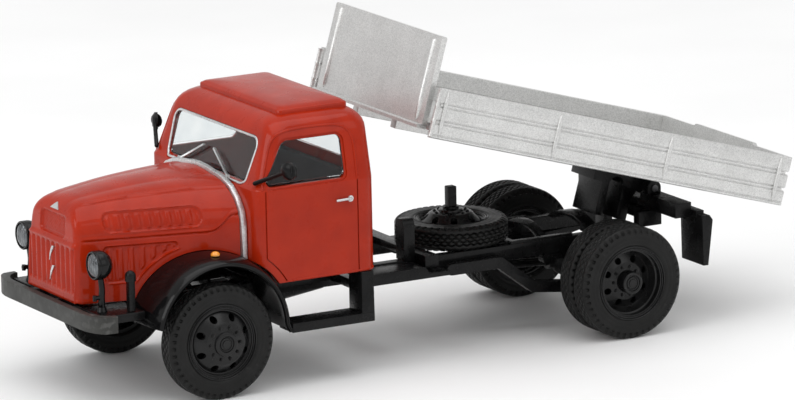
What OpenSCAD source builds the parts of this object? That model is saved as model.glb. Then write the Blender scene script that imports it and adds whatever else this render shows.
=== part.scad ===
// Bonneted tipper truck, a scale model at 1:87, all sizes in the model's own millimetres.
// -Y is the truck's front, +X its left side and +Z up. The origin lies on the ground, midway
// along the model with its bed raised. Lengths along the truck are measured from the front axle.

/* [Wheels] */
// Distance between the front and rear axles
wheelbase = 44.5; // [42:0.5:54]
// Radius of every tyre
tyre_r = 5.56; // [5.2:0.02:6]
// Width of one tyre
tyre_w = 2.35; // [2:0.05:2.6]
// Radius of the seat between tyre and rim
rim_r = 3.55; // [3.2:0.05:3.8]
// Distance across the outer faces of the front tyres
front_track = 23.8; // [23:0.1:26]
// Distance across the outer faces of the rear tyres
rear_track = 25.8; // [25:0.1:28]
// Gap between the two tyres of a rear pair
twin_gap = 0.25; // [0.1:0.05:0.4]
// Radius of both axle rods
axle_r = 0.55; // [0.4:0.05:0.8]
// Radial clearance between an axle rod and its saddle
axle_fit = 0.06; // [0.02:0.01:0.1]

/* [Chassis] */
// Distance across the outer faces of the frame rails
frame_w = 10; // [9:0.2:11.6]
// Width of one rail
rail_w = 1; // [0.7:0.1:1.4]
// Height of one rail
rail_h = 1.45; // [1.2:0.05:2]
// Height of the rails' top above the ground
rail_top = 9.05; // [8.9:0.05:9.6]
// How far the rails reach ahead of the front axle
front_reach = 11.2; // [10.5:0.1:12]
// Distance from the front axle to the middle of the spare wheel
spare_y = 31.6; // [31:0.1:33]

/* [Cab] */
// Half the width of the cab at the doors
cab_hw = 11.2; // [10.6:0.1:11.6]
// Front face of the cab, behind the front axle
cab_front = 4.4; // [4:0.1:5]
// Back face of the cab, behind the front axle
cab_back = 17.3; // [16.5:0.1:17.8]
// Height of the cab's lower edge
cab_sill = 10.3; // [10.1:0.1:10.6]
// Height of the belt line, under the windows
cab_belt = 19.3; // [18.8:0.1:19.6]
// Height of the gutter, above the windows
cab_gutter = 24.3; // [24:0.1:25]
// Height of the roof's flat top
cab_top = 25.95; // [25.6:0.05:27]
// Wall thickness of cab and hood
wall = 0.6; // [0.4:0.05:0.8]
// Thickness of every window pane
pane = 0.3; // [0.2:0.05:0.4]

/* [Hood] */
// Half the width of the hood at the grille
hood_hw_front = 4.7; // [4.4:0.1:5.4]
// Half the width of the hood at the cab
hood_hw_back = 8.7; // [8.2:0.1:9.2]
// Height of the hood's top at the grille
hood_top_front = 18.55; // [18.2:0.05:19.2]
// Height of the hood's top at the cab
hood_top_back = 19.75; // [19.4:0.05:20.4]
// Height of the crease along the hood's side
hood_crease = 15.8; // [15:0.1:16.4]
// Height of the grille's lower edge
grille_low = 9.5; // [9.35:0.05:10]
// Distance of the grille's face ahead of the front axle
nose = 11.9; // [11.4:0.1:12.1]

/* [Fenders and bumper] */
// Distance of a fender's outer edge from the tyre's tread
fender_gap = 1.19; // [1.15:0.05:1.6]
// Rise of a fender's crown, from its outer to its inner edge
fender_crown = 0.65; // [0.4:0.05:0.9]
// Thickness of the fender shells
fender_t = 0.5; // [0.35:0.05:0.6]
// Distance of the bumper's front ahead of the front axle
bumper_front = 12.9; // [12.6:0.1:13.6]
// Half the width of the bumper
bumper_hw = 11; // [10:0.1:11.6]
// Height of the bumper bar
bumper_h = 1.6; // [1.2:0.1:2]
// Radius of a headlight
lamp_r = 1.4; // [1.2:0.05:1.6]

/* [Bed] */
// Length of the bed
bed_len = 41.4; // [38:0.2:44]
// Width of the bed
bed_w = 24; // [23.2:0.2:25.4]
// Height of the side walls
bed_wall_h = 4.9; // [3.8:0.1:6]
// Thickness of the walls and of the floor
bed_t = 0.6; // [0.5:0.05:0.8]
// Height of the headboard
headboard_h = 9.6; // [7:0.1:11]
// Width of the headboard
headboard_w = 20.9; // [18:0.1:21.6]
// Angle at which the bed is displayed, 0 is lowered
bed_tilt = 16.5; // [0:0.5:40]
// Overhang of the bed behind its pivot
bed_overhang = 9.5; // [9.1:0.1:12]
// Distance of the pivot behind the rear axle
pivot_back = 8.1; // [7.7:0.1:9.5]
// Height of the pivot above the ground
pivot_z = 12.3; // [12.1:0.1:13]
// Distance from the pivot up to the bed's underside
pivot_drop = 1.3; // [1.2:0.05:1.6]
// Radius of the pivot pin
pin_r = 0.35; // [0.25:0.05:0.4]
// Radial clearance of the pivot pin in the bed's bracket
pin_fit = 0.05; // [0.02:0.01:0.1]

/* [Hidden] */
$fn = 48;

// paints
red = [0.76, 0.13, 0.07];
black = [0.09, 0.09, 0.1];
grey = [0.2, 0.2, 0.21];
silver = [0.74, 0.75, 0.76];
amber = [0.95, 0.5, 0.08];
clear = [0.85, 0.92, 0.95, 0.35];

seat_gap = 0.05;   // between pieces that are set into each other
rail_mid = frame_w / 2 - rail_w / 2;
pivot_y = wheelbase + pivot_back;
pivot_l = bed_len - bed_overhang;

// the displayed bed's place: l runs back from its front end, h up from its underside
function bed_y(l, h) =
    pivot_y + (l - pivot_l) * cos(bed_tilt) + (h + pivot_drop) * sin(bed_tilt);
mid_y = (bed_y(bed_len, bed_wall_h) - bumper_front) / 2;

// from axle coordinates to the model's own frame
module on_truck() translate([0, -mid_y, 0]) children();

// from the bed's own coordinates to the displayed bed
module on_bed()
    on_truck() translate([0, pivot_y, pivot_z]) rotate([-bed_tilt, 0, 0])
        translate([0, -pivot_l, pivot_drop]) children();

module mirrored() {
    children();
    mirror([1, 0, 0]) children();
}

// a rod or tube axis along X, centred
module rod_x(r, h) rotate([0, 90, 0]) cylinder(r = r, h = h, center = true);

// a 2D outline in (Y, Z), extruded along X from x0 to x1
module slab_x(x0, x1) translate([x0, 0, 0]) rotate([90, 0, 90]) linear_extrude(x1 - x0) children();

// box between two corners
module box(a, b) translate(a) cube(b - a);

// closed solid through a list of sections, each a loop of as many points
module loft(sections) {
    n = len(sections[0]);
    m = len(sections);
    points = [for (s = sections) each s];
    sides = [for (k = [0 : m - 2], i = [0 : n - 1]) let (j = (i + 1) % n)
        each [[k * n + i, k * n + j, (k + 1) * n + i],
              [k * n + j, (k + 1) * n + j, (k + 1) * n + i]]];
    low = [for (i = [1 : n - 2]) [0, i + 1, i]];
    high = [for (i = [1 : n - 2]) [(m - 1) * n, (m - 1) * n + i, (m - 1) * n + i + 1]];
    polyhedron(points, concat(sides, low, high));
}

// ---- wheels -------------------------------------------------------------------------

// tyre with rounded shoulders, its middle at x = 0
module tyre() {
    shoulder = 0.5;
    bead = 0.25;
    hw = tyre_w / 2;
    crown = tyre_r - shoulder;
    rotate([0, 90, 0]) rotate_extrude($fn = 96) polygon(concat(
        [[rim_r, -hw + bead], [rim_r, hw - bead], [rim_r + bead, hw]],
        [for (a = [0 : 22.5 : 90]) [crown + shoulder * sin(a), hw - shoulder + shoulder * cos(a)]],
        [for (a = [90 : -22.5 : 0]) [crown + shoulder * sin(a), -hw + shoulder - shoulder * cos(a)]],
        [[rim_r + bead, -hw]]));
}

hole_count = 8;
hole_r = 0.34;
disc_t = 0.4;
rim_t = 0.35;
cap_t = 0.3;
// rim whose face looks to +X: a flanged barrel, a disc that drops in a cone from its middle
// plate to the barrel, hand holes in that cone, and a closed hub
module rim(face, plate_r, drop, hub_out, hub_r, hub_in) {
    hw = tyre_w / 2;
    cone_r = rim_r - 0.55;
    barrel = rim_r - rim_t;
    seat = rim_r - seat_gap / 2;
    difference() {
        rotate([0, 90, 0]) rotate_extrude($fn = 96) polygon([
            [axle_r, hub_in], [axle_r, face + hub_out - cap_t], [0, face + hub_out - cap_t],
            [0, face + hub_out], [hub_r - 0.15, face + hub_out], [hub_r, face + hub_out - 0.15],
            [hub_r, face], [plate_r, face], [cone_r, face - drop], [barrel, face - drop],
            [barrel, hw - 0.05], [rim_r - 0.1, hw - 0.05], [seat, hw - 0.2],
            [seat, -hw + 0.2], [barrel, -hw + 0.2], [barrel, face - drop - disc_t],
            [cone_r, face - drop - disc_t], [plate_r, face - disc_t], [hub_r, face - disc_t],
            [hub_r, hub_in]]);
        for (i = [0 : hole_count - 1]) rotate([i * 360 / hole_count, 0, 0])
            translate([face - drop / 2, 0, (plate_r + cone_r) / 2]) rotate([0, 90, 0])
                cylinder(r = hole_r, h = drop + 3 * disc_t, center = true, $fn = 24);
    }
}

front_wheel_x = front_track / 2 - tyre_w / 2;
rear_outer_x = rear_track / 2 - tyre_w / 2;
rear_inner_x = rear_outer_x - tyre_w - twin_gap;
front_face = 1.7;    // plate of a front rim, outward of the tyre's middle
front_hub_out = 0.3;
twin_face = 0.1;     // plate of an outer rear rim, inward of the tyre's middle
twin_hub_out = 1.3;
inner_hub_out = 0.6;

module at_front_wheels() on_truck() translate([0, 0, tyre_r]) children();
module at_rear_wheels() on_truck() translate([0, wheelbase, tyre_r]) children();

module convex_rim(hub_in) rim(front_face, 2.05, 0.95, front_hub_out, 1.2, hub_in);
module dished_rim(hub_out, hub_in) rim(-twin_face, 1.9, 0.3, hub_out, 1.1, hub_in);
module front_rim() color(black) translate([front_wheel_x, 0, 0]) convex_rim(-tyre_w / 2 - 0.3);
// the two rims of a rear pair, back to back on one hub
module rear_rims() color(black) {
    translate([rear_outer_x, 0, 0]) dished_rim(twin_hub_out, -tyre_w / 2);
    translate([rear_inner_x, 0, 0]) mirror([1, 0, 0]) difference() {
        dished_rim(inner_hub_out, -tyre_w / 2 - twin_gap + seat_gap);
        rod_x(axle_r, 4 * tyre_w);
    }
}
module front_axle() color(grey)
    rod_x(axle_r, 2 * (front_wheel_x + front_face + front_hub_out - cap_t - seat_gap));
module rear_axle() color(grey)
    rod_x(axle_r, 2 * (rear_outer_x - twin_face + twin_hub_out - cap_t - seat_gap));
module front_tyre() color(black) translate([front_wheel_x, 0, 0]) tyre();
module rear_tyres() color(black)
    for (x = [rear_outer_x, rear_inner_x]) translate([x, 0, 0]) tyre();

// ---- chassis ------------------------------------------------------------------------

frame_front = -front_reach;
frame_back = pivot_y;
rail_low = rail_top - rail_h;
inner_w = frame_w - 2 * rail_w;

// rails with a raised pad over the rear axle, clear of the spare wheel, and a stepped tail
pad_inset = 0.15;
spare_end = spare_y + sqrt(pow(tyre_r, 2) - pow(inner_w / 2 + pad_inset, 2));
pad_front = max(wheelbase - 9, spare_end + 2 * seat_gap);
module frame_rails() color(black) mirrored() translate([rail_mid - rail_w / 2, 0, 0]) {
    box([0, frame_front, rail_low], [rail_w, frame_back - 2.2, rail_top]);
    box([pad_inset, pad_front, rail_top - 0.1], [rail_w - pad_inset, wheelbase - 2, rail_top + 0.25]);
    box([0, frame_back - 2.6, tail_low - 1.5], [rail_w, frame_back, tail_low]);
}

// straight members, a round hoop and a wide arch over the axle
hoop_y = wheelbase - 4.2;
member_w = 1.2;
module cross_members() color(black) {
    for (y = [frame_front + 0.4, 8, 20, spare_y + 4.4])
        box([-inner_w / 2, y, rail_low + 0.2], [inner_w / 2, y + member_w, rail_top - 0.2]);
    box([-inner_w / 2, frame_back - member_w, tail_low - 1.2], [inner_w / 2, frame_back, tail_low]);
    translate([0, hoop_y, rail_low + 0.2]) rotate([90, 0, 0]) linear_extrude(0.7) difference() {
        arch_2d(inner_w / 2, rail_h + 0.9);
        translate([0, -0.01]) arch_2d(inner_w / 2 - 0.7, rail_h + 0.3);
    }
    translate([0, wheelbase + 1.6, rail_top]) rotate([90, 0, 0]) linear_extrude(1.4) difference() {
        arch_2d(frame_w / 2 - 0.3, 1.2);
        translate([0, -0.01]) arch_2d(inner_w / 2 - 0.1, 0.75);
    }
}

// outline with straight feet and a crowned top
module arch_2d(hw, h) intersection() {
    translate([-hw, 0]) square([2 * hw, h]);
    translate([0, h - 1.5 * hw]) circle(r = 1.5 * hw, $fn = 96);
}

// leaf pack bent over the axle, with a bored saddle
module spring(half_len) {
    top = rail_low - seat_gap;
    sag = 0.9;
    bow = (half_len * half_len + sag * sag) / (2 * sag);
    difference() {
        union() {
            intersection() {
                slab_x(-rail_w / 2, rail_w / 2) translate([0, top - sag - tyre_r + bow]) difference() {
                    circle(r = bow, $fn = 180);
                    circle(r = bow - 0.75, $fn = 180);
                }
                box([-rail_w, -half_len, -tyre_r], [rail_w, half_len, top - tyre_r]);
            }
            box([-rail_w / 2, -1.1, -axle_r - 0.7], [rail_w / 2, 1.1, top - sag - tyre_r + 0.3]);
            for (s = [-1, 1]) translate([0, s * (half_len - 0.4), top - tyre_r - 0.45]) rod_x(0.45, rail_w);
        }
        rod_x(axle_r + axle_fit, 3 * rail_w);
    }
}
module front_springs() color(black) mirrored() translate([rail_mid, 0, 0]) spring(5);
module rear_springs() color(black) mirrored() translate([rail_mid, 0, 0]) spring(5.4);

// bars that drop from the rails to the rear axle
arm_x = frame_w / 2 + 0.1;
arm_t = 1;
arm_h = 1.1;
module radius_arms() color(black) {
    // centre line, as (distance ahead of the rear axle, height)
    line = [[16.3, 7.7], [10.9, 7.7], [7.1, 4.8], [3.4, 4.35], [0, 4.35]];
    mirrored() difference() {
        slab_x(arm_x, arm_x + arm_t) union() {
            for (i = [0 : len(line) - 2]) strut_2d(
                [wheelbase - line[i].x, line[i].y], [wheelbase - line[i + 1].x, line[i + 1].y], arm_h);
            translate([wheelbase - 1.1, line[4].y - 0.4]) square([2.2, tyre_r - line[4].y + 1.3]);
        }
        translate([0, wheelbase, tyre_r]) rod_x(axle_r + axle_fit, 4 * frame_w);
    }
}
module strut_2d(a, b, w) {
    d = b - a;
    translate(a) rotate(atan2(d.y, d.x)) translate([0, -w / 2]) square([norm(d), w]);
    for (p = [a, b]) translate(p) circle(r = w / 2, $fn = 32);
}

gearbox_mid = 12;
gearbox_back = 17;
shaft_z = 7.1;
diff_r = 1.7;
module gearbox() color(black) {
    box([-2, 1.8, 5.6], [2, gearbox_mid, rail_low + 0.2]);
    translate([0, gearbox_mid, shaft_z]) rotate([-90, 0, 0])
        cylinder(r1 = 1.5, r2 = 0.9, h = gearbox_back - gearbox_mid);
}
module prop_shaft() color(black) translate([0, gearbox_back + seat_gap, shaft_z]) {
    run = wheelbase - diff_r - 0.5 - gearbox_back - 2 * seat_gap;
    fall = shaft_z - tyre_r;
    rotate([-90 - atan(fall / run), 0, 0]) cylinder(r = 0.45, h = norm([run, fall]));
}
// axle casing turned about X, round in the middle, with a nose for the shaft
module differential() color(black) translate([0, wheelbase, tyre_r]) {
    bore = axle_r + axle_fit;
    tube_r = axle_r + 0.4;
    half = rail_mid - rail_w / 2 - seat_gap;
    edge = acos(tube_r / diff_r);
    rotate([0, 90, 0]) rotate_extrude($fn = 64) polygon(concat(
        [[bore, -half], [tube_r, -half]],
        [for (a = [-edge : edge / 5 : edge + 0.01]) [diff_r * cos(a), diff_r * sin(a)]],
        [[tube_r, half], [bore, half]]));
    translate([0, -diff_r - 0.5, 0]) rotate([-90, 0, 0]) cylinder(r = 0.8, h = 1);
}

// ---- front end ----------------------------------------------------------------------

plate_top = grille_low - 0.4;
plate_t = 0.8;
plate_hw = 9.6;
plate_back = -6.9;
module front_plate() color(black) mirrored()
    box([frame_w / 2 + seat_gap, -11.4, plate_top - plate_t], [plate_hw, plate_back, plate_top]);

bumper_low = 7.75;
// bar seen from above: nearly straight, its ends swept back in an arc
module bumper_2d(inset) {
    sweep = 1.6;
    flat = bumper_hw - 3.4;
    polygon(concat(
        [[-flat, -bumper_front + inset], [flat, -bumper_front + inset]],
        [for (a = [15 : 15 : 75]) [flat + (3.4 - inset) * sin(a), -bumper_front + sweep + inset
            - sweep * cos(a)]],
        [[bumper_hw - inset, -bumper_front + sweep + 0.4], [bumper_hw - inset, -bumper_front + sweep + 0.8],
         [-bumper_hw + inset, -bumper_front + sweep + 0.8],
         [-bumper_hw + inset, -bumper_front + sweep + 0.4]],
        [for (a = [75 : -15 : 15]) [-flat - (3.4 - inset) * sin(a), -bumper_front + sweep + inset
            - sweep * cos(a)]]));
}
bumper_t = 0.7;
module bumper() color(grey) translate([0, 0, bumper_low]) {
    difference() {
        linear_extrude(bumper_h) bumper_2d(0);
        translate([0, 0, -1]) linear_extrude(bumper_h + 2) translate([0, 0.02]) bumper_2d(bumper_t);
    }
    // stays to the rails
    for (s = [-1, 1]) translate([s * rail_mid - rail_w / 2, 0, 0])
        box([0, -bumper_front + bumper_t - 0.1, 0.15], [rail_w, frame_front - seat_gap, bumper_h - 0.25]);
}

module tow_hook() color(grey) translate([0, -bumper_front + bumper_t + 0.03, bumper_low + bumper_h / 2])
    difference() {
        union() {
            translate([-0.4, 0, -0.35]) cube([0.8, frame_front + bumper_front - bumper_t + 0.35, 0.7]);
            translate([0, 0.1, -0.6]) rotate([0, 90, 0]) cylinder(r = 0.55, h = 0.5, center = true);
        }
        translate([0, 0.1, -0.6]) rod_x(0.22, 2);
        translate([-1, -2, -3]) cube([2, 2, 6]);
    }

fender_r = tyre_r + fender_gap;
fender_y = 0.3;                        // arch centre, behind the axle
fender_z = tyre_r + 0.7;               // arch centre above the ground
fender_out = front_track / 2 + 0.1;    // outer edge
fender_in = frame_w / 2 + seat_gap;    // inner edge, against the rails
fender_front = 169;                    // angle of the front end, from the rear
fender_back = -6;                      // angle of the rear end
fender_top_r = fender_r + fender_crown;
foot = 0.55;                           // flare of the rear end
module fender() color(black) {
    difference() {
        translate([0, fender_y, fender_z]) rotate([0, 90, 0]) rotate([0, 0, 90 + fender_back])
            fender_sweep();
        // room for the frame and the side plate
        box([0, -20, 0], [fender_in, 20, rail_top + 0.1]);
        box([0, -12, plate_top - plate_t - 0.1], [plate_hw + 0.1, plate_back + 0.05, plate_top + 0.1]);
    }
    // flared foot
    translate([0, fender_y, fender_z]) rotate([fender_back, 0, 0])
        box([front_track / 2 - 3, fender_r - 0.15, -0.25], [fender_out, fender_r + foot, 0.25]);
}
// shell swept round the wheel, from the rear end over the top to the front end
module fender_sweep() {
    t = fender_t;
    crown_w = 3.2;
    top = [for (a = [0 : 15 : 90]) [fender_r + fender_crown * cos(90 - a), fender_out - crown_w
        + crown_w * cos(a)]];
    under = [for (a = [90 : -15 : 0]) [fender_r - t + fender_crown * cos(90 - a),
        fender_out - crown_w + (crown_w - t) * cos(a)]];
    rotate_extrude(angle = fender_front - fender_back, $fn = 120) polygon(concat(
        [[fender_r - 0.35, fender_out]], top, [[fender_top_r, fender_in]],
        [[fender_top_r - t, fender_in]], under, [[fender_r - 0.35, fender_out - t]]));
}

// lamps: shells on bent stalks, lenses in their mouths
lamp_x = 7.54;
lamp_y = -10.83;
lamp_z = 13.63;
module headlight() color(black) {
    translate([lamp_x, lamp_y, lamp_z]) rotate([90, 0, 0]) difference() {
        rotate_extrude() polygon(concat([[0, -1.45]],
            [for (a = [15 : 15 : 90]) [lamp_r * sin(a), -0.2 - 1.25 * cos(a)]],
            [[lamp_r, 0.35], [lamp_r - 0.15, 0.5], [0, 0.5]]));
        translate([0, 0, 0.1]) cylinder(r = lamp_r - 0.2, h = 1);
    }
    translate([lamp_x, lamp_y + 0.4, plate_top + seat_gap]) {
        cylinder(r = 0.3, h = lamp_z - lamp_r * 0.8 - plate_top - seat_gap);
        cylinder(r = 0.5, h = 0.4);
        translate([-0.25, -0.9, 1.1]) cube([0.5, 0.9, 0.4]);
    }
}
module lens() color(clear) translate([lamp_x, lamp_y, lamp_z]) rotate([90, 0, 0])
    translate([0, 0, 0.15]) rotate_extrude() polygon(concat([[0, 0]],
        [[lamp_r - 0.2 - seat_gap, 0]],
        [for (a = [90 : -15 : 0]) [(lamp_r - 0.2 - seat_gap) * sin(a), 0.25 + 0.3 * cos(a)]]));

post_x = 9;
module guide_post() color(black) translate([post_x, -8.1, plate_top + seat_gap]) {
    translate([-0.32, -0.32, 0]) cube([0.64, 0.64, 3.0]);
    translate([0, 0, 2.9]) cylinder(r = 0.52, h = 0.5);
    translate([0, 0, 3.4]) intersection() {
        sphere(r = 0.52);
        translate([-1, -1, 0]) cube(2);
    }
}

// ---- hood and cab -------------------------------------------------------------------

hood_back = cab_front - 0.65;
hood_flare = 0.5;    // how far the grille's foot is wider than its top
nose_r = 2.4;        // rounding of the hood's front edge, seen from the side
arch_r = fender_top_r + seat_gap;   // cut in hood and cab round a fender
function mix(a, b, t) = a + (b - a) * t;

// half of a hood section, from its lower edge over the shoulder to the middle of the top
function hood_half(hw, top, flat, flare, low) = concat(
    [[hw + flare, low], [hw, hood_crease]],
    [for (a = [18 : 18 : 90]) [flat + (hw - flat) * cos(a), hood_crease + (top - hood_crease) * sin(a)]],
    [[flat * 0.5, top + 0.2], [0, top + 0.28]]);
function closed(half, y) = concat(
    [for (p = half) [p.x, y, p.y]],
    [for (i = [len(half) - 2 : -1 : 0]) [-half[i].x, y, half[i].y]]);
function hood_section(t, y, inset) = closed(hood_half(
    mix(hood_hw_front, hood_hw_back, t) - inset,
    mix(hood_top_front, hood_top_back, t) + 0.35 * sin(180 * t) - inset,
    mix(1.5, 3, t), mix(hood_flare, 0.1, t), inset > 0 ? grille_low - 1 : grille_low), y);

module hood_form(inset) {
    arc = [-nose + 0.3 + nose_r, hood_top_front + 0.67 - nose_r];
    intersection() {
        loft([for (i = [0 : 5]) let (t = i / 5)
            hood_section(t, mix(-nose - 0.1, hood_back, t), inset)]);
        // side view: upright grille, rounded top corner
        slab_x(-12, 12) polygon(concat(
            [[-nose + inset, 0], [hood_back + 1, 0], [hood_back + 1, 24], [arc.x, 24]],
            [for (a = [90 : 15 : 180]) arc + (nose_r - inset) * [cos(a), sin(a)]],
            [[-nose + 0.2 + inset, lip_z + 0.4], [-nose + inset, lip_z - 0.2]]));
        // plan: rounded corners beside the grille
        linear_extrude(30) plan_2d(inset);
    }
}
module plan_2d(inset) {
    w = hood_hw_front + hood_flare + 0.1 - inset;
    front = -nose + inset;
    half = [[w - 1.2, front + 0.1], [w - 0.4, front + 0.5], [w, front + 1.2], [13, hood_back + 1]];
    polygon(concat([[0, front - 0.02]], half, [for (i = [3 : -1 : 0]) [-half[i].x, half[i].y]]));
}
module fender_room(r) translate([0, fender_y, fender_z]) rod_x(r, 60);

lip_z = hood_crease - 0.95;
module hood() color(red) difference() {
    hood_form(0);
    hood_form(wall);
    box([-20, hood_back, 0], [20, 30, 40]);
    fender_room(arch_r);
    // recess of the mesh above the grille's lip
    box([-2.9, -nose - 1, lip_z + 0.3], [2.9, -nose + 0.6, lip_z + 2.4]);
}

// bright strip that covers the joint of hood and cab
trim_rise = 0.35;
module cowl_trim() color(silver) difference() {
    loft([for (y = [hood_back + seat_gap, cab_front - seat_gap]) hood_section(1, y, -trim_rise)]);
    loft([for (y = [hood_back - 1, hood_back + 2]) hood_section(1, y, 0.5)]);
    box([-20, hood_back - 1, 0], [20, hood_back + 3, grille_low + 2.9]);
    fender_room(arch_r);
}

// cab sections: [height, half width, front, back, corner radius]
corner_r = 1.5;
cowl = 0.45;        // step from the cab's front back to the foot of the windscreen
screen_run = 1.9;   // run of the windscreen's top behind the cab's front
side_run = 1.0;     // how far each side leans in up to the gutter
cab_levels = [
    [cab_sill, cab_hw, cab_front, cab_back, corner_r],
    [cab_belt, cab_hw, cab_front, cab_back, corner_r],
    [cab_belt + cowl, cab_hw - 0.1, cab_front + cowl, cab_back, corner_r],
    [cab_gutter, cab_hw - side_run, cab_front + screen_run, cab_back - 0.1, corner_r],
    [cab_gutter + 0.75, cab_hw - 1.35, cab_front + 2.4, cab_back - 0.35, corner_r + 0.2],
    [cab_top - 0.35, cab_hw - 2.1, cab_front + 3.1, cab_back - 0.9, corner_r + 0.3],
    [cab_top, cab_hw - 3.1, cab_front + 3.9, cab_back - 1.8, corner_r + 0.2]
];
corner_steps = 6;
function ring(z, hw, front, back, r) = [
    for (c = [[1, 90], [1, 360], [-1, 270], [-1, 180]], i = [0 : corner_steps])
    let (a = c[1] - i * 90 / corner_steps, cy = c[1] <= 180 ? back - r : front + r)
    [c.x * (hw - r) + r * cos(a), cy + r * sin(a), z]];
// levels of the cab, inset by a wall: the roof comes down and the sill runs out below
function cab_ring(k, inset) = let (v = cab_levels[k], last = len(cab_levels) - 1)
    ring(k == 0 && inset > 0 ? v[0] - 1 : v[0] - (k > 2 ? inset : 0), v[1] - inset, v[2] + inset,
         v[3] - inset, max(v[4] - inset, 0.4));
module cab_form(inset) loft([for (k = [0 : len(cab_levels) - 1]) cab_ring(k, inset)]);

// window openings, as outlines on the cab's side and front
sash_low = cab_belt + 0.3;
sash_high = cab_gutter - 0.55;
side_front = cab_front + 0.75;
side_back = cab_back - 3.4;
module side_opening_2d(grow) translate([-grow, -grow]) hull() {
    translate([side_front + 0.9, sash_low + 0.7]) circle(r = 0.5 + grow, $fn = 32);
    translate([side_back - 0.5, sash_low + 0.7]) circle(r = 0.5 + grow, $fn = 32);
    translate([side_back - 0.7, sash_high - 0.7]) circle(r = 0.7 + grow, $fn = 32);
    translate([side_front + 3.2, sash_high - 1]) circle(r = 1 + grow, $fn = 32);
}
screen_hw_low = 7.9;
screen_hw_high = 8.3;
// the windscreen's opening, seen along -Y
module screen_2d(grow) hull() for (s = [-1, 1]) {
    translate([s * (screen_hw_low - 0.6), sash_low + 0.75]) circle(r = 0.6 + grow, $fn = 32);
    translate([s * (screen_hw_high - 0.8), sash_high - 0.75]) circle(r = 0.8 + grow, $fn = 32);
}
rear_win_hw = 5.2;
module rear_window_2d(grow) translate([0, sash_low + 0.6]) hull() for (s = [-1, 1], z = [0.7, 2.9])
    translate([s * (rear_win_hw - 0.7), z]) circle(r = 0.7 + grow, $fn = 32);
module through_y(y0, y1) translate([0, y1, 0]) rotate([90, 0, 0]) linear_extrude(y1 - y0) children();

hatch_front = cab_front + 4.1;
hatch_back = cab_back - 1.4;
hatch_hw = 8;
module cab() color(red) {
    difference() {
        cab_form(0);
        cab_form(wall);
        slab_x(-20, 20) side_opening_2d(0);
        through_y(0, cab_front + 4) screen_2d(0);
        through_y(cab_back - 2, cab_back + 2) rear_window_2d(0);
        fender_room(arch_r);
    }
    // raised panel on the roof, crowned: [height, inset]
    translate([0, 0, cab_top]) loft([for (v = [[-0.3, 0], [0.4, 0.05], [0.55, 0.25], [0.75, 1.6], [0.85, 3]])
        ring(v.x, hatch_hw - v.y, hatch_front + v.y, hatch_back - v.y, 0.5)]);
}

// panes, just inside the openings' edges
fit = 0.04;
function lean_y(z) = cab_front + mix(cowl, screen_run,
    (z - cab_belt - cowl) / (cab_gutter - cab_belt - cowl));
function side_x(z) = cab_hw - mix(0.1, side_run, (z - cab_belt - cowl) / (cab_gutter - cab_belt - cowl));
module windscreen() color(clear) intersection() {
    slab_x(-9, 9) polygon([[lean_y(sash_low) + 0.15, sash_low], [lean_y(sash_high) + 0.15, sash_high],
        [lean_y(sash_high) + 0.15 + pane, sash_high], [lean_y(sash_low) + 0.15 + pane, sash_low]]);
    through_y(0, cab_front + 4) screen_2d(-fit);
}
module side_windows() color(clear) {
    out = side_x(sash_low) - 0.15;
    in = side_x(sash_high) - 0.15;
    mirrored() intersection() {
        through_y(-10, 30) polygon([[out, sash_low], [in, sash_high], [in - pane, sash_high],
            [out - pane, sash_low]]);
        slab_x(0, 20) offset(delta = -fit) side_opening_2d(0);
    }
}
module rear_window() color(clear)
    through_y(cab_back - 0.15 - pane - 0.1, cab_back - 0.25) rear_window_2d(-fit);

// wiper arms, leaning together from their spindles under the windscreen
wiper_x = 4.9;
wiper_len = 4.4;
wiper_angle = 62;
screen_lean = atan((screen_run - cowl) / (cab_gutter - cab_belt - cowl));
module wipers() color(silver) mirrored()
    translate([wiper_x, lean_y(sash_low) - 0.12, sash_low + 0.1]) rotate([-screen_lean, 0, 0]) {
        rotate([90, 0, 0]) cylinder(r = 0.24, h = 0.3, $fn = 24);
        rotate([0, -wiper_angle, 0]) {
            box([-0.1, -0.2, 0], [0.1, 0, wiper_len]);
            box([-0.07, -0.02, wiper_len * 0.35], [0.07, 0.09, wiper_len]);
        }
    }

// mirror: round head on an arm from the foot of the windscreen's corner
mirror_at = [13.65, 6.4, 21.6];
module mirror_arm() color(black) {
    foot_z = cab_belt + 0.7;
    foot_r = corner_r + 0.28;
    foot_a = -72;
    hull() {
        translate([side_x(foot_z) - corner_r + foot_r * cos(foot_a),
            lean_y(foot_z) + corner_r + foot_r * sin(foot_a), foot_z]) sphere(r = 0.22, $fn = 16);
        translate(mirror_at) sphere(r = 0.2, $fn = 16);
    }
    translate(mirror_at) rotate([-90, 0, 0]) rotate([0, -25, 0]) {
        cylinder(r = 0.85, h = 0.3);
        translate([0, 0, -0.25]) cylinder(r1 = 0.5, r2 = 0.85, h = 0.25);
    }
}

module turn_signal() color(amber) translate([10.2, fender_y, fender_z + fender_top_r]) {
    cylinder(r = 0.3, h = 0.45);
    translate([0, 0, 0.45]) sphere(r = 0.3, $fn = 24);
}

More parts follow.
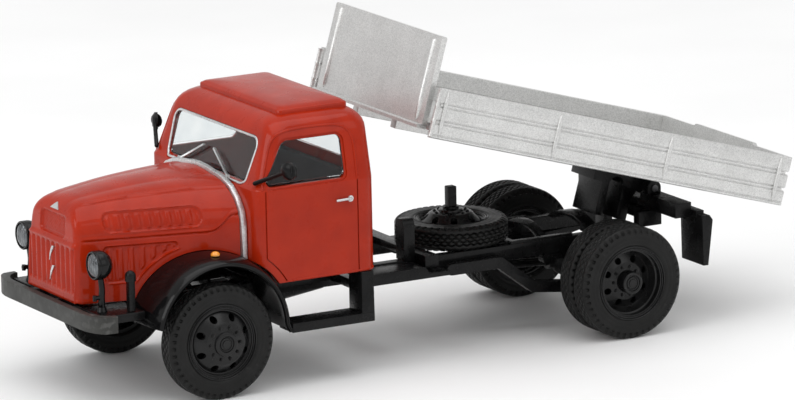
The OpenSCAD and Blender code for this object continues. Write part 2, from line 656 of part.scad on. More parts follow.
module cab_floor() color(grey) {
    inner = cab_hw - wall - 0.1;
    difference() {
        box([-inner + 0.9, cab_front + wall + 0.1, cab_sill],
            [inner - 0.9, cab_back - wall - 0.1, cab_sill + 0.6]);
        fender_room(arch_r + 0.2);
    }
    for (s = [-1, 1]) translate([s * rail_mid, 0, 0])
        box([-rail_w / 2, 9, rail_top], [rail_w / 2, cab_back - 1, cab_sill + 0.1]);
}
module seat() color(grey) {
    box([-9.4, 11.2, cab_sill + 0.6], [9.4, 15.4, cab_sill + 4.2]);
    slab_x(-9.4, 9.4) polygon([[14.6, cab_sill + 4.1], [15.9, cab_sill + 4.1], [16.3, cab_belt + 0.1],
        [15.5, cab_belt + 0.1]]);
}
module dashboard() color(grey)
    slab_x(-9.2, 9.2) polygon([[cab_front + wall + 0.1, cab_sill + 5.2], [cab_front + 2, cab_sill + 5.8],
        [cab_front + 2.2, cab_sill + 7.6], [cab_front + wall + 0.1, cab_sill + 8.2]]);
module steering_wheel() color(grey) {
    hub = [4.6, cab_front + 4.4, cab_sill + 7.3];
    translate(hub) rotate([-35, 0, 0]) {
        rotate_extrude($fn = 64) translate([1.75, 0]) circle(r = 0.16, $fn = 20);
        for (a = [0, 120, 240]) rotate(a) translate([0, -0.14, -0.1]) cube([1.75, 0.28, 0.2]);
        cylinder(r = 0.35, h = 0.3, center = true);
        translate([0, 0, -2.35]) cylinder(r = 0.16, h = 2.3);
    }
}

// steps under the doors: a tread in an open frame
step_low = 5.35;
step_front = fender_y + fender_r + foot + 2 * seat_gap;
step_back = 16.6;
module step() color(black) {
    tread_in = cab_hw - 2.4;
    box([tread_in, step_front, step_low], [cab_hw + 0.3, step_back, step_low + 0.9]);
    box([tread_in, step_back - 1.3, step_low], [cab_hw + 0.2, step_back, cab_sill - seat_gap]);
    box([frame_w / 2 + seat_gap, step_back - 1.2, rail_top - 0.9],
        [tread_in + 0.1, step_back - 0.2, rail_top]);
}

// ---- middle -------------------------------------------------------------------------

// beam behind the cab, just ahead of the spare wheel
beam_t = 1.4;
beam_y = spare_y - tyre_r - beam_t - 0.04;
beam_hw = 7.2;
module rear_beam() color(black) {
    box([-beam_hw, beam_y, rail_top], [beam_hw, beam_y + beam_t, rail_top + 0.7]);
    mirrored() box([frame_w / 2 + seat_gap, beam_y, rail_top - 0.5], [beam_hw, beam_y + 1.5, rail_top + 0.7]);
}
// posts on the rails that carry the lowered bed by its runners
rest_w = 1.6;
rest_x = rail_mid - rest_w / 2;
rest_t = 1.2;
bed_low = pivot_z + pivot_drop;   // underside of the lowered bed
runner_low = -0.35;               // underside of the runners, from that of the bed
rest_h = bed_low + runner_low - 0.15 - rail_top;
module bed_rests() color(black) mirrored() translate([rest_x, beam_y - rest_t - seat_gap, rail_top]) {
    box([0, 0, 0], [rest_w, rest_t, rest_h - 0.6]);
    translate([rest_w / 2, rest_t, rest_h - 0.6]) rotate([90, 0, 0]) intersection() {
        cylinder(r = rest_w / 2, h = rest_t);
        box([-rest_w, 0, -1], [rest_w, 0.6, 2]);
    }
}

// flat tanks beside the rails, stepped down under the beam
tank_front = cab_back + 0.6;
tank_low = rail_top - 1.25;
tank_top = rail_top - 0.1;
module side_tanks() color(black) mirrored() translate([frame_w / 2, 0, 0])
    slab_x(0, 3.2) polygon([[tank_front, tank_low], [tank_front, tank_top], [beam_y - 0.5, tank_top],
        [beam_y - 0.05, tank_top - 0.65], [beam_y + 2.1, tank_top - 0.65],
        [beam_y + 2.4, tank_low + 0.2], [beam_y + 2.2, tank_low]]);

// spare wheel, flat on the rails, held by a post through its middle
spare_z = rail_top + seat_gap;
module at_spare() translate([0, spare_y, spare_z + tyre_w / 2]) rotate([0, -90, 0]) children();
module spare_tyre() color(black) at_spare() tyre();
module spare_rim() color(black) at_spare() convex_rim(-0.9);
spare_post_top = bed_low + 0.9;
module spare_post() color(black) {
    from = spare_z + tyre_w / 2 + front_face + front_hub_out + seat_gap;
    post_hw = 0.44;
    translate([0, spare_y, from]) cylinder(r = 0.8, h = 0.2);
    box([-post_hw, spare_y - post_hw, from], [post_hw, spare_y + post_hw, spare_post_top]);
}

// ---- tail ---------------------------------------------------------------------------

tail_low = 10.4;
tail_h = 1.45;
tail_hw = 9.3;
ear_x = 2.6;
ear_w = 1.1;
ear_r = 0.75;
lug_r = 0.95;        // round end of the bed's lugs
module tail_beam() color(black) difference() {
    union() {
        box([-tail_hw, pivot_y - 1, tail_low], [tail_hw, pivot_y + 0.8, tail_low + tail_h]);
        mirrored() slab_x(ear_x, ear_x + ear_w) union() {
            translate([pivot_y - ear_r, tail_low]) square([2 * ear_r, pivot_z - tail_low]);
            translate([pivot_y, pivot_z]) circle(r = ear_r);
        }
        // coupling block under the middle
        box([-1.2, pivot_y + seat_gap, tail_low - 1.1], [1.2, pivot_y + 1.2, tail_low + 0.3]);
    }
    // room for the bed's lugs
    box([-ear_x, pivot_y - 3, pivot_z - lug_r - 0.15], [ear_x, pivot_y + 3, pivot_z + 3]);
    translate([0, pivot_y, pivot_z]) rod_x(pin_r, 30);
}
module pivot_pin() color(grey) translate([0, pivot_y, pivot_z]) rod_x(pin_r, 2 * (ear_x + ear_w + 0.15));

module mudflap() color(black) translate([0, pivot_y, 0]) {
    slab_x(tail_hw - 2.1, tail_hw + 2)
        polygon([[0.95, 5.8], [0.85, 10.8], [1.7, 10.8], [2.05, 10.3], [1.5, 5.8]]);
    box([tail_hw - 1.6, 0.8, tail_low + 0.1], [tail_hw + 0.9, 1.7, tail_low + 0.7]);
}

// ---- bed ----------------------------------------------------------------------------

floor_low = 1.3;
bed_hw = bed_w / 2;
board_count = 3;
post_count = 4;
post_margin = 1.2;
post_w = 0.8;
groove = 0.12;
sill_h = 0.35;
runner_x = rest_x - 0.4;
runner_w = 1;
rib_count = 7;
module bed_floor() color(silver) {
    box([-bed_hw + bed_t, bed_t, floor_low], [bed_hw - bed_t, bed_len - bed_t, floor_low + bed_t]);
    mirrored() box([runner_x, 0.9, runner_low], [runner_x + runner_w, bed_len - 1, floor_low + 0.01]);
    for (i = [0 : rib_count - 1]) let (y = 1.6 + i * (bed_len - 4) / (rib_count - 1)) mirrored()
        box([runner_x + runner_w - 0.1, y, 0.5], [bed_hw - bed_t, y + 0.8, floor_low + 0.01]);
}
// a lengthwise cut in the face of a side wall
module wall_groove(h) box([bed_hw - groove, -1, h - 0.06], [bed_hw + 0.02, bed_len + 1, h + 0.06]);
module side_wall() color(silver) difference() {
    union() {
        box([bed_hw - bed_t, 0.35, 0], [bed_hw, bed_len, bed_wall_h]);
        for (i = [0 : post_count - 1])
            let (y = post_margin + i * (bed_len - 2 * post_margin) / (post_count - 1))
            box([bed_hw - 0.05, y - post_w / 2, sill_h + 0.06],
                [bed_hw + 0.22, y + post_w / 2, bed_wall_h - 0.15]);
    }
    wall_groove(sill_h);
    // double joints of the boards
    for (i = [1 : board_count - 1], s = [-1, 1]) wall_groove(i * bed_wall_h / board_count + s * 0.17);
}
module tailgate() color(silver) {
    box([-bed_hw + bed_t, bed_len - bed_t, 0.2], [bed_hw - bed_t, bed_len, bed_wall_h]);
    box([-bed_hw * 0.45, bed_len - bed_t, bed_wall_h - 0.1], [bed_hw * 0.45, bed_len, bed_wall_h + 0.25]);
}
module headboard() color(silver) {
    box([-headboard_w / 2, 0, 0.9], [headboard_w / 2, bed_t, headboard_h]);
    box([-headboard_w / 2, -0.5, 0.6], [headboard_w / 2, bed_t, 1]);
    mirrored() box([headboard_w / 2 - 1.6, -0.25, 1], [headboard_w / 2 - 0.9, 0.05, headboard_h - 0.2]);
}

// bracket under the bed: a slotted tower ahead of the pivot and two lugs on the pin
tower_hw = 2.15;
tower_front = pivot_l - 6.2;
tower_back = pivot_l - 1.4;
tower_h = 5.1;
head_h = 1.7;        // of the tower's wider head
slot_front = tower_front + 1.95;
slot_w = 1.65;
module tip_bracket() color(black) difference() {
    union() {
        box([-tower_hw, tower_front, -head_h], [tower_hw, tower_back, floor_low]);
        box([-tower_hw, tower_front + 1.1, -tower_h], [tower_hw, tower_back, -head_h + 0.1]);
        mirrored() slab_x(1.1, tower_hw) union() {
            polygon([[tower_back - 0.1, -3], [pivot_l - 0.8, -pivot_drop - 0.5],
                [pivot_l, lug_r - pivot_drop - 0.4], [tower_back - 0.1, lug_r - pivot_drop - 0.4]]);
            translate([pivot_l, -pivot_drop]) circle(r = lug_r);
        }
    }
    // round-topped slot through the tower, from side to side
    slab_x(-5, 5) translate([slot_front, 0]) {
        translate([0, -tower_h - 1]) square([slot_w, tower_h - 0.8]);
        translate([slot_w / 2, -1.8]) circle(r = slot_w / 2);
    }
    translate([0, pivot_l, -pivot_drop]) rod_x(pin_r + pin_fit, 20);
}

// ---- nodes --------------------------------------------------------------------------

on_truck() frame_rails();
on_truck() cross_members();
at_front_wheels() front_springs();
at_rear_wheels() rear_springs();
on_truck() radius_arms();
on_truck() gearbox();
on_truck() prop_shaft();
on_truck() differential();
on_truck() front_plate();
on_truck() bumper();
on_truck() tow_hook();
on_truck() fender();  // fender_left
on_truck() mirror([1, 0, 0]) fender();  // fender_right
on_truck() mirrored() turn_signal();  // turn_signals
on_truck() headlight();  // headlight_left
on_truck() mirror([1, 0, 0]) headlight();  // headlight_right
on_truck() mirrored() lens();  // headlight_lenses
on_truck() mirrored() guide_post();  // guide_posts
on_truck() hood();
on_truck() cowl_trim();
on_truck() cab();
on_truck() windscreen();
on_truck() side_windows();
on_truck() rear_window();
on_truck() wipers();
on_truck() mirror_arm();  // mirror_left
on_truck() mirror([1, 0, 0]) mirror_arm();  // mirror_right
on_truck() cab_floor();
on_truck() seat();
on_truck() dashboard();
on_truck() steering_wheel();
on_truck() step();  // step_left
on_truck() mirror([1, 0, 0]) step();  // step_right
on_truck() rear_beam();
on_truck() bed_rests();
on_truck() side_tanks();
on_truck() spare_tyre();
on_truck() spare_rim();
on_truck() spare_post();
on_truck() tail_beam();
on_truck() pivot_pin();
on_truck() mudflap();  // mudflap_left
on_truck() mirror([1, 0, 0]) mudflap();  // mudflap_right
at_front_wheels() front_axle();
at_front_wheels() front_tyre();  // front_tyre_left
at_front_wheels() mirror([1, 0, 0]) front_tyre();  // front_tyre_right
at_front_wheels() front_rim();  // front_rim_left
at_front_wheels() mirror([1, 0, 0]) front_rim();  // front_rim_right
at_rear_wheels() rear_axle();
at_rear_wheels() rear_tyres();  // rear_tyres_left
at_rear_wheels() mirror([1, 0, 0]) rear_tyres();  // rear_tyres_right
at_rear_wheels() rear_rims();  // rear_rims_left
at_rear_wheels() mirror([1, 0, 0]) rear_rims();  // rear_rims_right
on_bed() bed_floor();
on_bed() headboard();
on_bed() side_wall();  // side_wall_left
on_bed() mirror([1, 0, 0]) side_wall();  // side_wall_right
on_bed() tailgate();
on_bed() tip_bracket();
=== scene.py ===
# %% [markdown]
# # A tipper truck as a small scale model
#
# The real thing is a toy-sized truck of moulded plastic, 76 mm long: a glossy red cab and hood,
# black running gear, and a tipping bed sprayed silver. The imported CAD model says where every
# piece is. This file gives each piece its surface: first the frame and a few helpers, then the
# finishes, then the pieces from the wheels up, and last the floor, the lights and the camera.

# %% Load the frame
import math

import bmesh
import bpy
import numpy as np
from mathutils import Matrix, Vector


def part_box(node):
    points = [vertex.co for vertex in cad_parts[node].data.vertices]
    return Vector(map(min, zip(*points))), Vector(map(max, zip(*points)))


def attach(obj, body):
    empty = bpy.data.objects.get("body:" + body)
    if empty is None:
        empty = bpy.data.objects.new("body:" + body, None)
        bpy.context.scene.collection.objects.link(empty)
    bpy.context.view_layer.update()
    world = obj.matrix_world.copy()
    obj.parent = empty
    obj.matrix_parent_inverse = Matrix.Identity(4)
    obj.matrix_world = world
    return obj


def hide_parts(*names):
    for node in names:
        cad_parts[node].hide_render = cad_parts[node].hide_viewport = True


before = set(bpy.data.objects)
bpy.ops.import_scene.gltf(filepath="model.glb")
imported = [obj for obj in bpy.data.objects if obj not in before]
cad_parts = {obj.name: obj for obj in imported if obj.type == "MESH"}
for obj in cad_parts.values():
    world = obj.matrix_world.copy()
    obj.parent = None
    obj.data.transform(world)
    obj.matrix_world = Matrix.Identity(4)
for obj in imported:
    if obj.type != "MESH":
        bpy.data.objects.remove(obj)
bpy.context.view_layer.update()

# %% [markdown]
# Lengths below are in millimetres, because the model is small. Along the truck they are counted
# from the front axle, as on a real truck's drawing, and the axle's own place comes from the CAD.
# The bed is drawn lying flat and then turned about its pivot pin by the angle it is shown at.

# %% Places
MM = 0.001


def middle(node):
    low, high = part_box(node)
    return (low + high) / 2 / MM


AXLE = middle("front_axle")
REAR_AXLE = middle("rear_axle")
PIVOT = middle("pivot_pin")
BED_TILT = math.radians(16.5)
PIVOT_BACK, PIVOT_DROP = 31.9, 1.3    # of the pin: behind the bed's front end, below its underside
MODEL = Matrix.Scale(MM, 4)
ON_TRUCK = MODEL @ Matrix.Translation((0, AXLE.y, 0))
ON_BED = (MODEL @ Matrix.Translation(PIVOT) @ Matrix.Rotation(-BED_TILT, 4, "X")
          @ Matrix.Translation((0, -PIVOT_BACK, PIVOT_DROP)))
print("front axle", tuple(round(v, 3) for v in AXLE), "pivot", tuple(round(v, 3) for v in PIVOT))

# %% [markdown]
# Every piece ends as one plain mesh at the origin, riding on a CAD body. `new_object` turns
# points and faces into such a mesh: it puts the points in place, makes the faces agree on which
# side is out, smooths the shading and keeps edges sharper than an angle crisp. `dress` gives the
# piece its finish, its body and the CAD nodes that it takes the place of.

# %% From points to a piece
FINISH = {}


def shade(mesh, sharp=35):
    mesh.polygons.foreach_set("use_smooth", [True] * len(mesh.polygons))
    mesh.set_sharp_from_angle(angle=math.radians(sharp))


def dress(obj, body, finish, *nodes):
    obj.data.materials.clear()
    obj.data.materials.append(FINISH[finish])
    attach(obj, body)
    if nodes:
        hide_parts(*nodes)
    print(obj.name, "faces", len(obj.data.polygons))
    return obj


def new_object(name, points, faces, place=ON_TRUCK, sharp=35, weld=0.001):
    mesh = bpy.data.meshes.new(name)
    mesh.from_pydata([place @ Vector(p) for p in points], [], faces)
    bm = bmesh.new()
    bm.from_mesh(mesh)
    bmesh.ops.remove_doubles(bm, verts=bm.verts, dist=weld * MM)
    bmesh.ops.recalc_face_normals(bm, faces=bm.faces)
    bm.to_mesh(mesh)
    bm.free()
    shade(mesh, sharp)
    obj = bpy.data.objects.new(name, mesh)
    bpy.context.scene.collection.objects.link(obj)
    return obj


def bake(obj):
    """The object's mesh as its modifiers leave it, with the modifiers gone."""
    bpy.context.view_layer.update()
    seen = obj.evaluated_get(bpy.context.evaluated_depsgraph_get())
    mesh = bpy.data.meshes.new_from_object(seen)
    obj.modifiers.clear()
    old, obj.data = obj.data, mesh
    bpy.data.meshes.remove(old)
    return obj


def cut(obj, *cutters, sharp=35):
    """Cuts closed solids out of a closed solid."""
    for cutter in cutters:
        step = obj.modifiers.new("cut", "BOOLEAN")
        step.operation, step.solver, step.object = "DIFFERENCE", "EXACT", cutter
    bake(obj)
    for cutter in cutters:
        bpy.data.objects.remove(cutter)
    shade(obj.data, sharp)
    return obj


def join(name, *objs):
    bm = bmesh.new()
    for obj in objs:
        bm.from_mesh(obj.data)
    mesh = bpy.data.meshes.new(name)
    bm.to_mesh(mesh)
    bm.free()
    for obj in objs:
        bpy.data.objects.remove(obj)
    joined = bpy.data.objects.new(name, mesh)
    bpy.context.scene.collection.objects.link(joined)
    return joined


# %% [markdown]
# Four shapes come back again and again: a grid of points closed into a skin, an outline drawn
# out into a bar, an outline turned about the wheel's axle, and a round bar that follows a path.

# %% Skins, bars, turned shapes and tubes
def grid_faces(rows, cols, round_rows=False, round_cols=False):
    last_row = rows if round_rows else rows - 1
    last_col = cols if round_cols else cols - 1
    return [(r * cols + c, r * cols + (c + 1) % cols,
             (r + 1) % rows * cols + (c + 1) % cols, (r + 1) % rows * cols + c)
            for r in range(last_row) for c in range(last_col)]


def bar(name, outline, to_point, start, end, steps=1, place=ON_TRUCK, sharp=35):
    """A closed outline of (a, b) drawn out from start to end; to_point(a, b, s) gives its points."""
    n = len(outline)
    points = [to_point(a, b, start + (end - start) * k / steps) for k in range(steps + 1)
              for a, b in outline]
    faces = grid_faces(steps + 1, n, round_cols=True)
    faces += [tuple(range(n)), tuple(range(steps * n, (steps + 1) * n))]
    return new_object(name, points, faces, place, sharp)


def turned(name, outline, place, count=96, sharp=32):
    """A closed outline of (along the axle, radius) turned about the X axis."""
    points = [(x, r * math.cos(a), r * math.sin(a))
              for a in (math.tau * k / count for k in range(count)) for x, r in outline]
    return new_object(name, points, grid_faces(count, len(outline), True, True), place, sharp)


def tube(name, path, radius, place=ON_TRUCK, closed=False, sides=10):
    """A round bar along a path of points."""
    path = [Vector(p) for p in path]
    rings, start = [], path[1] - path[0]
    side = Vector((0, 0, 1)) if abs(start.z) < 0.7 * start.length else Vector((1, 0, 0))
    for k, p in enumerate(path):
        ahead = path[(k + 1) % len(path)] if closed or k + 1 < len(path) else p
        behind = path[k - 1] if closed or k else p
        along = (ahead - behind).normalized()
        side = (side - along * side.dot(along)).normalized()
        other = along.cross(side)
        r = radius(k / (len(path) - 1)) if callable(radius) else radius
        rings += [p + (side * math.cos(a) + other * math.sin(a)) * r
                  for a in (math.tau * i / sides for i in range(sides))]
    faces = grid_faces(len(path), sides, round_rows=closed, round_cols=True)
    if not closed:
        faces += [tuple(range(sides)), tuple(range(len(rings) - sides, len(rings)))]
    return new_object(name, rings, faces, place, 60)


def arc(cx, cy, r, start, end, steps):
    return [(cx + r * math.cos(math.radians(start + (end - start) * k / steps)),
             cy + r * math.sin(math.radians(start + (end - start) * k / steps)))
            for k in range(steps + 1)]


# %% [markdown]
# Much of the running gear has the right shape already in the CAD. Moulded plastic never has a
# knife edge, though, so a copy of such a node gets its edges rounded by a few hundredths of a
# millimetre. The copy is merged first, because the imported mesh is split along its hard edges.

# %% Softened copies of CAD nodes
def softened(node, body, finish, edge=0.07, sharp=35):
    bm = bmesh.new()
    bm.from_mesh(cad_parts[node].data)
    bmesh.ops.remove_doubles(bm, verts=bm.verts, dist=0.002 * MM)
    bmesh.ops.dissolve_limit(bm, angle_limit=math.radians(1), verts=bm.verts, edges=bm.edges)
    edges = [e for e in bm.edges if len(e.link_faces) == 2 and e.calc_face_angle(0) > math.radians(50)
             and e.calc_length() > 2.5 * edge * MM]
    if edge:
        bmesh.ops.bevel(bm, geom=edges, offset=edge * MM, segments=2, profile=0.6, affect="EDGES",
                        clamp_overlap=True)
    mesh = bpy.data.meshes.new(node + "_moulded")
    bm.to_mesh(mesh)
    bm.free()
    shade(mesh, sharp)
    obj = bpy.data.objects.new(node + "_moulded", mesh)
    bpy.context.scene.collection.objects.link(obj)
    return dress(obj, body, finish, node)


# %% [markdown]
# Louvres, ribs, nuts and posts are one shape many times over. A Geometry Nodes tree copies its
# input a number of times, each copy moved by a step and turned about the X axis by an angle.
# It ends in real mesh with its material set, because the saved model keeps no instances.

# %% The copying tree
def copying_tree():
    tree = bpy.data.node_groups.new("copies", "GeometryNodeTree")
    face = tree.interface
    face.new_socket("Geometry", in_out="INPUT", socket_type="NodeSocketGeometry")
    for name, kind in (("Count", "NodeSocketInt"), ("Step", "NodeSocketVector"),
                       ("Turn", "NodeSocketFloat"), ("Pivot", "NodeSocketVector"),
                       ("Finish", "NodeSocketMaterial")):
        face.new_socket(name, in_out="INPUT", socket_type=kind)
    face.new_socket("Geometry", in_out="OUTPUT", socket_type="NodeSocketGeometry")
    n, link = tree.nodes, tree.links.new
    given, result = n.new("NodeGroupInput"), n.new("NodeGroupOutput")
    line, copies = n.new("GeometryNodeMeshLine"), n.new("GeometryNodeInstanceOnPoints")
    turn, index, times = (n.new("GeometryNodeRotateInstances"), n.new("GeometryNodeInputIndex"),
                          n.new("ShaderNodeMath"))
    angle, real, paint = (n.new("ShaderNodeCombineXYZ"), n.new("GeometryNodeRealizeInstances"),
                          n.new("GeometryNodeSetMaterial"))
    times.operation = "MULTIPLY"
    link(given.outputs["Count"], line.inputs["Count"])
    link(given.outputs["Step"], line.inputs["Offset"])
    link(line.outputs["Mesh"], copies.inputs["Points"])
    link(given.outputs["Geometry"], copies.inputs["Instance"])
    link(index.outputs[0], times.inputs[0])
    link(given.outputs["Turn"], times.inputs[1])
    link(times.outputs[0], angle.inputs["X"])
    link(copies.outputs["Instances"], turn.inputs["Instances"])
    link(angle.outputs[0], turn.inputs["Rotation"])
    link(given.outputs["Pivot"], turn.inputs["Pivot Point"])
    turn.inputs["Local Space"].default_value = False
    link(turn.outputs["Instances"], real.inputs["Geometry"])
    link(real.outputs["Geometry"], paint.inputs["Geometry"])
    link(given.outputs["Finish"], paint.inputs["Material"])
    link(paint.outputs["Geometry"], result.inputs["Geometry"])
    return tree


COPIES = copying_tree()


def repeated(obj, finish, count, step=(0, 0, 0), turn=0.0, pivot=(0, 0, 0)):
    """obj copied count times, by a step in metres and a turn in radians about X through pivot."""
    ids = {s.name: s.identifier for s in COPIES.interface.items_tree if s.in_out == "INPUT"}
    step_on = obj.modifiers.new("copies", "NODES")
    step_on.node_group = COPIES
    for name, value in (("Count", count), ("Step", tuple(step)), ("Turn", turn),
                        ("Pivot", tuple(pivot)), ("Finish", FINISH[finish])):
        step_on[ids[name]] = value
    return bake(obj)


print("copying tree", len(COPIES.nodes), "nodes")

# %% [markdown]
# ## Finishes
#
# Painted and moulded plastic at this scale shows three things: a colour that wanders a little,
# a gloss that is never even, and a very fine skin texture. One recipe makes them all. A broad
# noise moves the colour between two neighbours, a second one moves the roughness, and a fine one
# becomes a bump. Noise sizes are in millimetres, measured on the piece itself.

# %% The recipe for a surface
def node_kit(name):
    made = bpy.data.materials.new(name)
    made.use_nodes = True
    nodes = made.node_tree.nodes
    nodes.clear()
    shader, end = nodes.new("ShaderNodeBsdfPrincipled"), nodes.new("ShaderNodeOutputMaterial")
    made.node_tree.links.new(shader.outputs[0], end.inputs["Surface"])
    where = nodes.new("ShaderNodeTexCoord")
    FINISH[name] = made
    return made, nodes, made.node_tree.links.new, shader, where.outputs["Object"]


def noise(nodes, link, where, size_mm, detail=3.0, rough=0.5):
    grain = nodes.new("ShaderNodeTexNoise")
    grain.inputs["Scale"].default_value = 1 / (size_mm * MM)
    grain.inputs["Detail"].default_value = detail
    grain.inputs["Roughness"].default_value = rough
    link(where, grain.inputs["Vector"])
    return grain.outputs["Fac"]


def ramp(nodes, link, value, low, high, start=0.35, end=0.65):
    spread = nodes.new("ShaderNodeValToRGB")
    spread.color_ramp.elements[0].position, spread.color_ramp.elements[1].position = start, end
    for stop, colour in zip(spread.color_ramp.elements, (low, high)):
        stop.color = (*colour, 1) if hasattr(colour, "__len__") else (colour,) * 3 + (1,)
    link(value, spread.inputs["Fac"])
    return spread.outputs["Color"]


def surface(name, low, high, gloss, patch=3.0, skin=0.12, bump=0.05, metal=0.0, coat=0.0,
            coat_rough=0.1, wear=None, specular=0.5):
    """low and high are the colour's two ends; gloss is (roughness low, high)."""
    made, nodes, link, shader, where = node_kit(name)
    colour = ramp(nodes, link, noise(nodes, link, where, patch), low, high)
    if wear:
        rubbed = nodes.new("ShaderNodeNewGeometry")
        edges = ramp(nodes, link, rubbed.outputs["Pointiness"], 0.0, 1.0, 0.52, 0.6)
        chips = ramp(nodes, link, noise(nodes, link, where, 0.6, 4), 0.0, 1.0, 0.5, 0.62)
        both = nodes.new("ShaderNodeMix")
        both.data_type, both.blend_type = "RGBA", "MULTIPLY"
        both.inputs["Factor"].default_value = 1
        link(edges, both.inputs["A"])
        link(chips, both.inputs["B"])
        mixed = nodes.new("ShaderNodeMix")
        mixed.data_type = "RGBA"
        mixed.inputs["B"].default_value = (*wear, 1)
        link(both.outputs["Result"], mixed.inputs["Factor"])
        link(colour, mixed.inputs["A"])
        colour = mixed.outputs["Result"]
    link(colour, shader.inputs["Base Color"])
    link(ramp(nodes, link, noise(nodes, link, where, patch * 0.6, 5), gloss[0], gloss[1]),
         shader.inputs["Roughness"])
    raised = nodes.new("ShaderNodeBump")
    raised.inputs["Strength"].default_value = bump
    raised.inputs["Distance"].default_value = skin * MM
    link(noise(nodes, link, where, skin, 2), raised.inputs["Height"])
    link(raised.outputs["Normal"], shader.inputs["Normal"])
    shader.inputs["Metallic"].default_value = metal
    shader.inputs["Coat Weight"].default_value = coat
    shader.inputs["Coat Roughness"].default_value = coat_rough
    shader.inputs["Specular IOR Level"].default_value = specular
    return made


# %% [markdown]
# The red is a warm, slightly orange red under a clear gloss. The blacks are the same plastic in
# three gloss levels: the fenders shine, the frame is satin and the tyres are dull rubber-like
# vinyl. The bumper is a dark grey.

# %% Plastics
surface("red_paint", (0.31, 0.014, 0.0015), (0.36, 0.018, 0.0025), (0.26, 0.34), 2.5, 0.15, 0.03,
        coat=0.3, coat_rough=0.05, specular=0.07)
surface("gloss_black", (0.003, 0.003, 0.0032), (0.005, 0.005, 0.0052), (0.1, 0.17), 2.0, 0.2,
        0.04, specular=0.22)
surface("chassis_black", (0.004, 0.004, 0.0042), (0.008, 0.008, 0.0082), (0.22, 0.3), 2.0, 0.15,
        0.1, specular=0.17)
surface("rim_black", (0.004, 0.004, 0.0042), (0.007, 0.007, 0.0072), (0.2, 0.28), 1.5, 0.12,
        0.08, specular=0.3)
surface("tyre", (0.004, 0.004, 0.0038), (0.007, 0.007, 0.0068), (0.34, 0.44), 1.5, 0.1, 0.25,
        wear=(0.016, 0.016, 0.0155), specular=0.22)
surface("dark_grey", (0.03, 0.03, 0.028), (0.042, 0.042, 0.039), (0.42, 0.52), 2.5, 0.1, 0.12,
        wear=(0.1, 0.1, 0.096), specular=0.25)
surface("interior_grey", (0.02, 0.02, 0.022), (0.034, 0.034, 0.036), (0.5, 0.62), 1.2, 0.12, 0.2,
        specular=0.25)
surface("steel", (0.05, 0.05, 0.052), (0.09, 0.09, 0.093), (0.25, 0.4), 1.0, 0.1, 0.1, metal=0.8)
surface("amber_plastic", (0.75, 0.26, 0.02), (0.85, 0.34, 0.03), (0.18, 0.28), 0.5, 0.1, 0.05,
        coat=0.5)
print("plastics", sorted(FINISH))

# %% [markdown]
# The bed's silver is sprayed on. Its flakes catch the light one by one, which at this scale
# reads as a fine even grain: cells a few hundredths of a millimetre wide, each with its own
# brightness, over a broad cloudiness from the spray gun. The silver of the trims is pressed on
# by hand, so it is brighter and a little patchy.

# %% Silver finishes
def silver(name, low, high, gloss, flake, metal):
    made = surface(name, low, high, gloss, 2.6, flake, 0.25, metal=metal)
    nodes, link = made.node_tree.nodes, made.node_tree.links.new
    shader = next(n for n in nodes if n.type == "BSDF_PRINCIPLED")
    where = next(n for n in nodes if n.type == "TEX_COORD").outputs["Object"]
    cells = nodes.new("ShaderNodeTexVoronoi")
    cells.inputs["Scale"].default_value = 1 / (flake * MM)
    link(where, cells.inputs["Vector"])
    shine = ramp(nodes, link, cells.outputs["Color"], 0.76, 1.0, 0.1, 0.8)
    tint = nodes.new("ShaderNodeMix")
    tint.data_type, tint.blend_type = "RGBA", "MULTIPLY"
    tint.inputs["Factor"].default_value = 1
    link(shader.inputs["Base Color"].links[0].from_socket, tint.inputs["A"])
    link(shine, tint.inputs["B"])
    link(tint.outputs["Result"], shader.inputs["Base Color"])
    return made


silver("silver_paint", (0.68, 0.68, 0.67), (0.74, 0.74, 0.73), (0.3, 0.38), 0.09, 0.72)
silver("silver_trim", (0.62, 0.63, 0.64), (0.78, 0.78, 0.78), (0.26, 0.4), 0.12, 0.85)

# %% [markdown]
# The panes are clear polystyrene. It lets the light through with hardly any colour and shows
# the studio in its gloss. The headlights' glass is backed by a dark mirror, so it is given a
# dark metal body under a clear coat instead.

# %% Clear plastics
def clear(name, rough):
    _, nodes, link, shader, where = node_kit(name)
    link(ramp(nodes, link, noise(nodes, link, where, 2.5), (0.88, 0.91, 0.92), (0.95, 0.97, 0.97)),
         shader.inputs["Base Color"])
    link(ramp(nodes, link, noise(nodes, link, where, 1.5), rough, rough + 0.03),
         shader.inputs["Roughness"])
    shader.inputs["Transmission Weight"].default_value = 1
    shader.inputs["IOR"].default_value = 1.3
    raised = nodes.new("ShaderNodeBump")
    raised.inputs["Strength"].default_value = 0.03
    raised.inputs["Distance"].default_value = 0.1 * MM
    link(noise(nodes, link, where, 2.0, 1), raised.inputs["Height"])
    link(raised.outputs["Normal"], shader.inputs["Normal"])


clear("clear_plastic", 0.02)
surface("lens_plastic", (0.05, 0.055, 0.06), (0.16, 0.17, 0.18), (0.08, 0.16), 0.7, 0.3, 0.2,
        metal=0.9, coat=0.6, coat_rough=0.03)
print("all finishes", len(FINISH))

# %% [markdown]
# ## Wheels
#
# The tyres have a wavy rib pattern: four grooves run round the tread and swing from side to
# side, and the shoulders carry a row of lugs. All of it is a regular function of the angle, so
# the tyre is one fine grid of points round the wheel, pushed in wherever the pattern says.

# %% Tyres
TYRE_R, TYRE_HW, RIM_R, LUGS = 5.56, 1.175, 3.55, 46


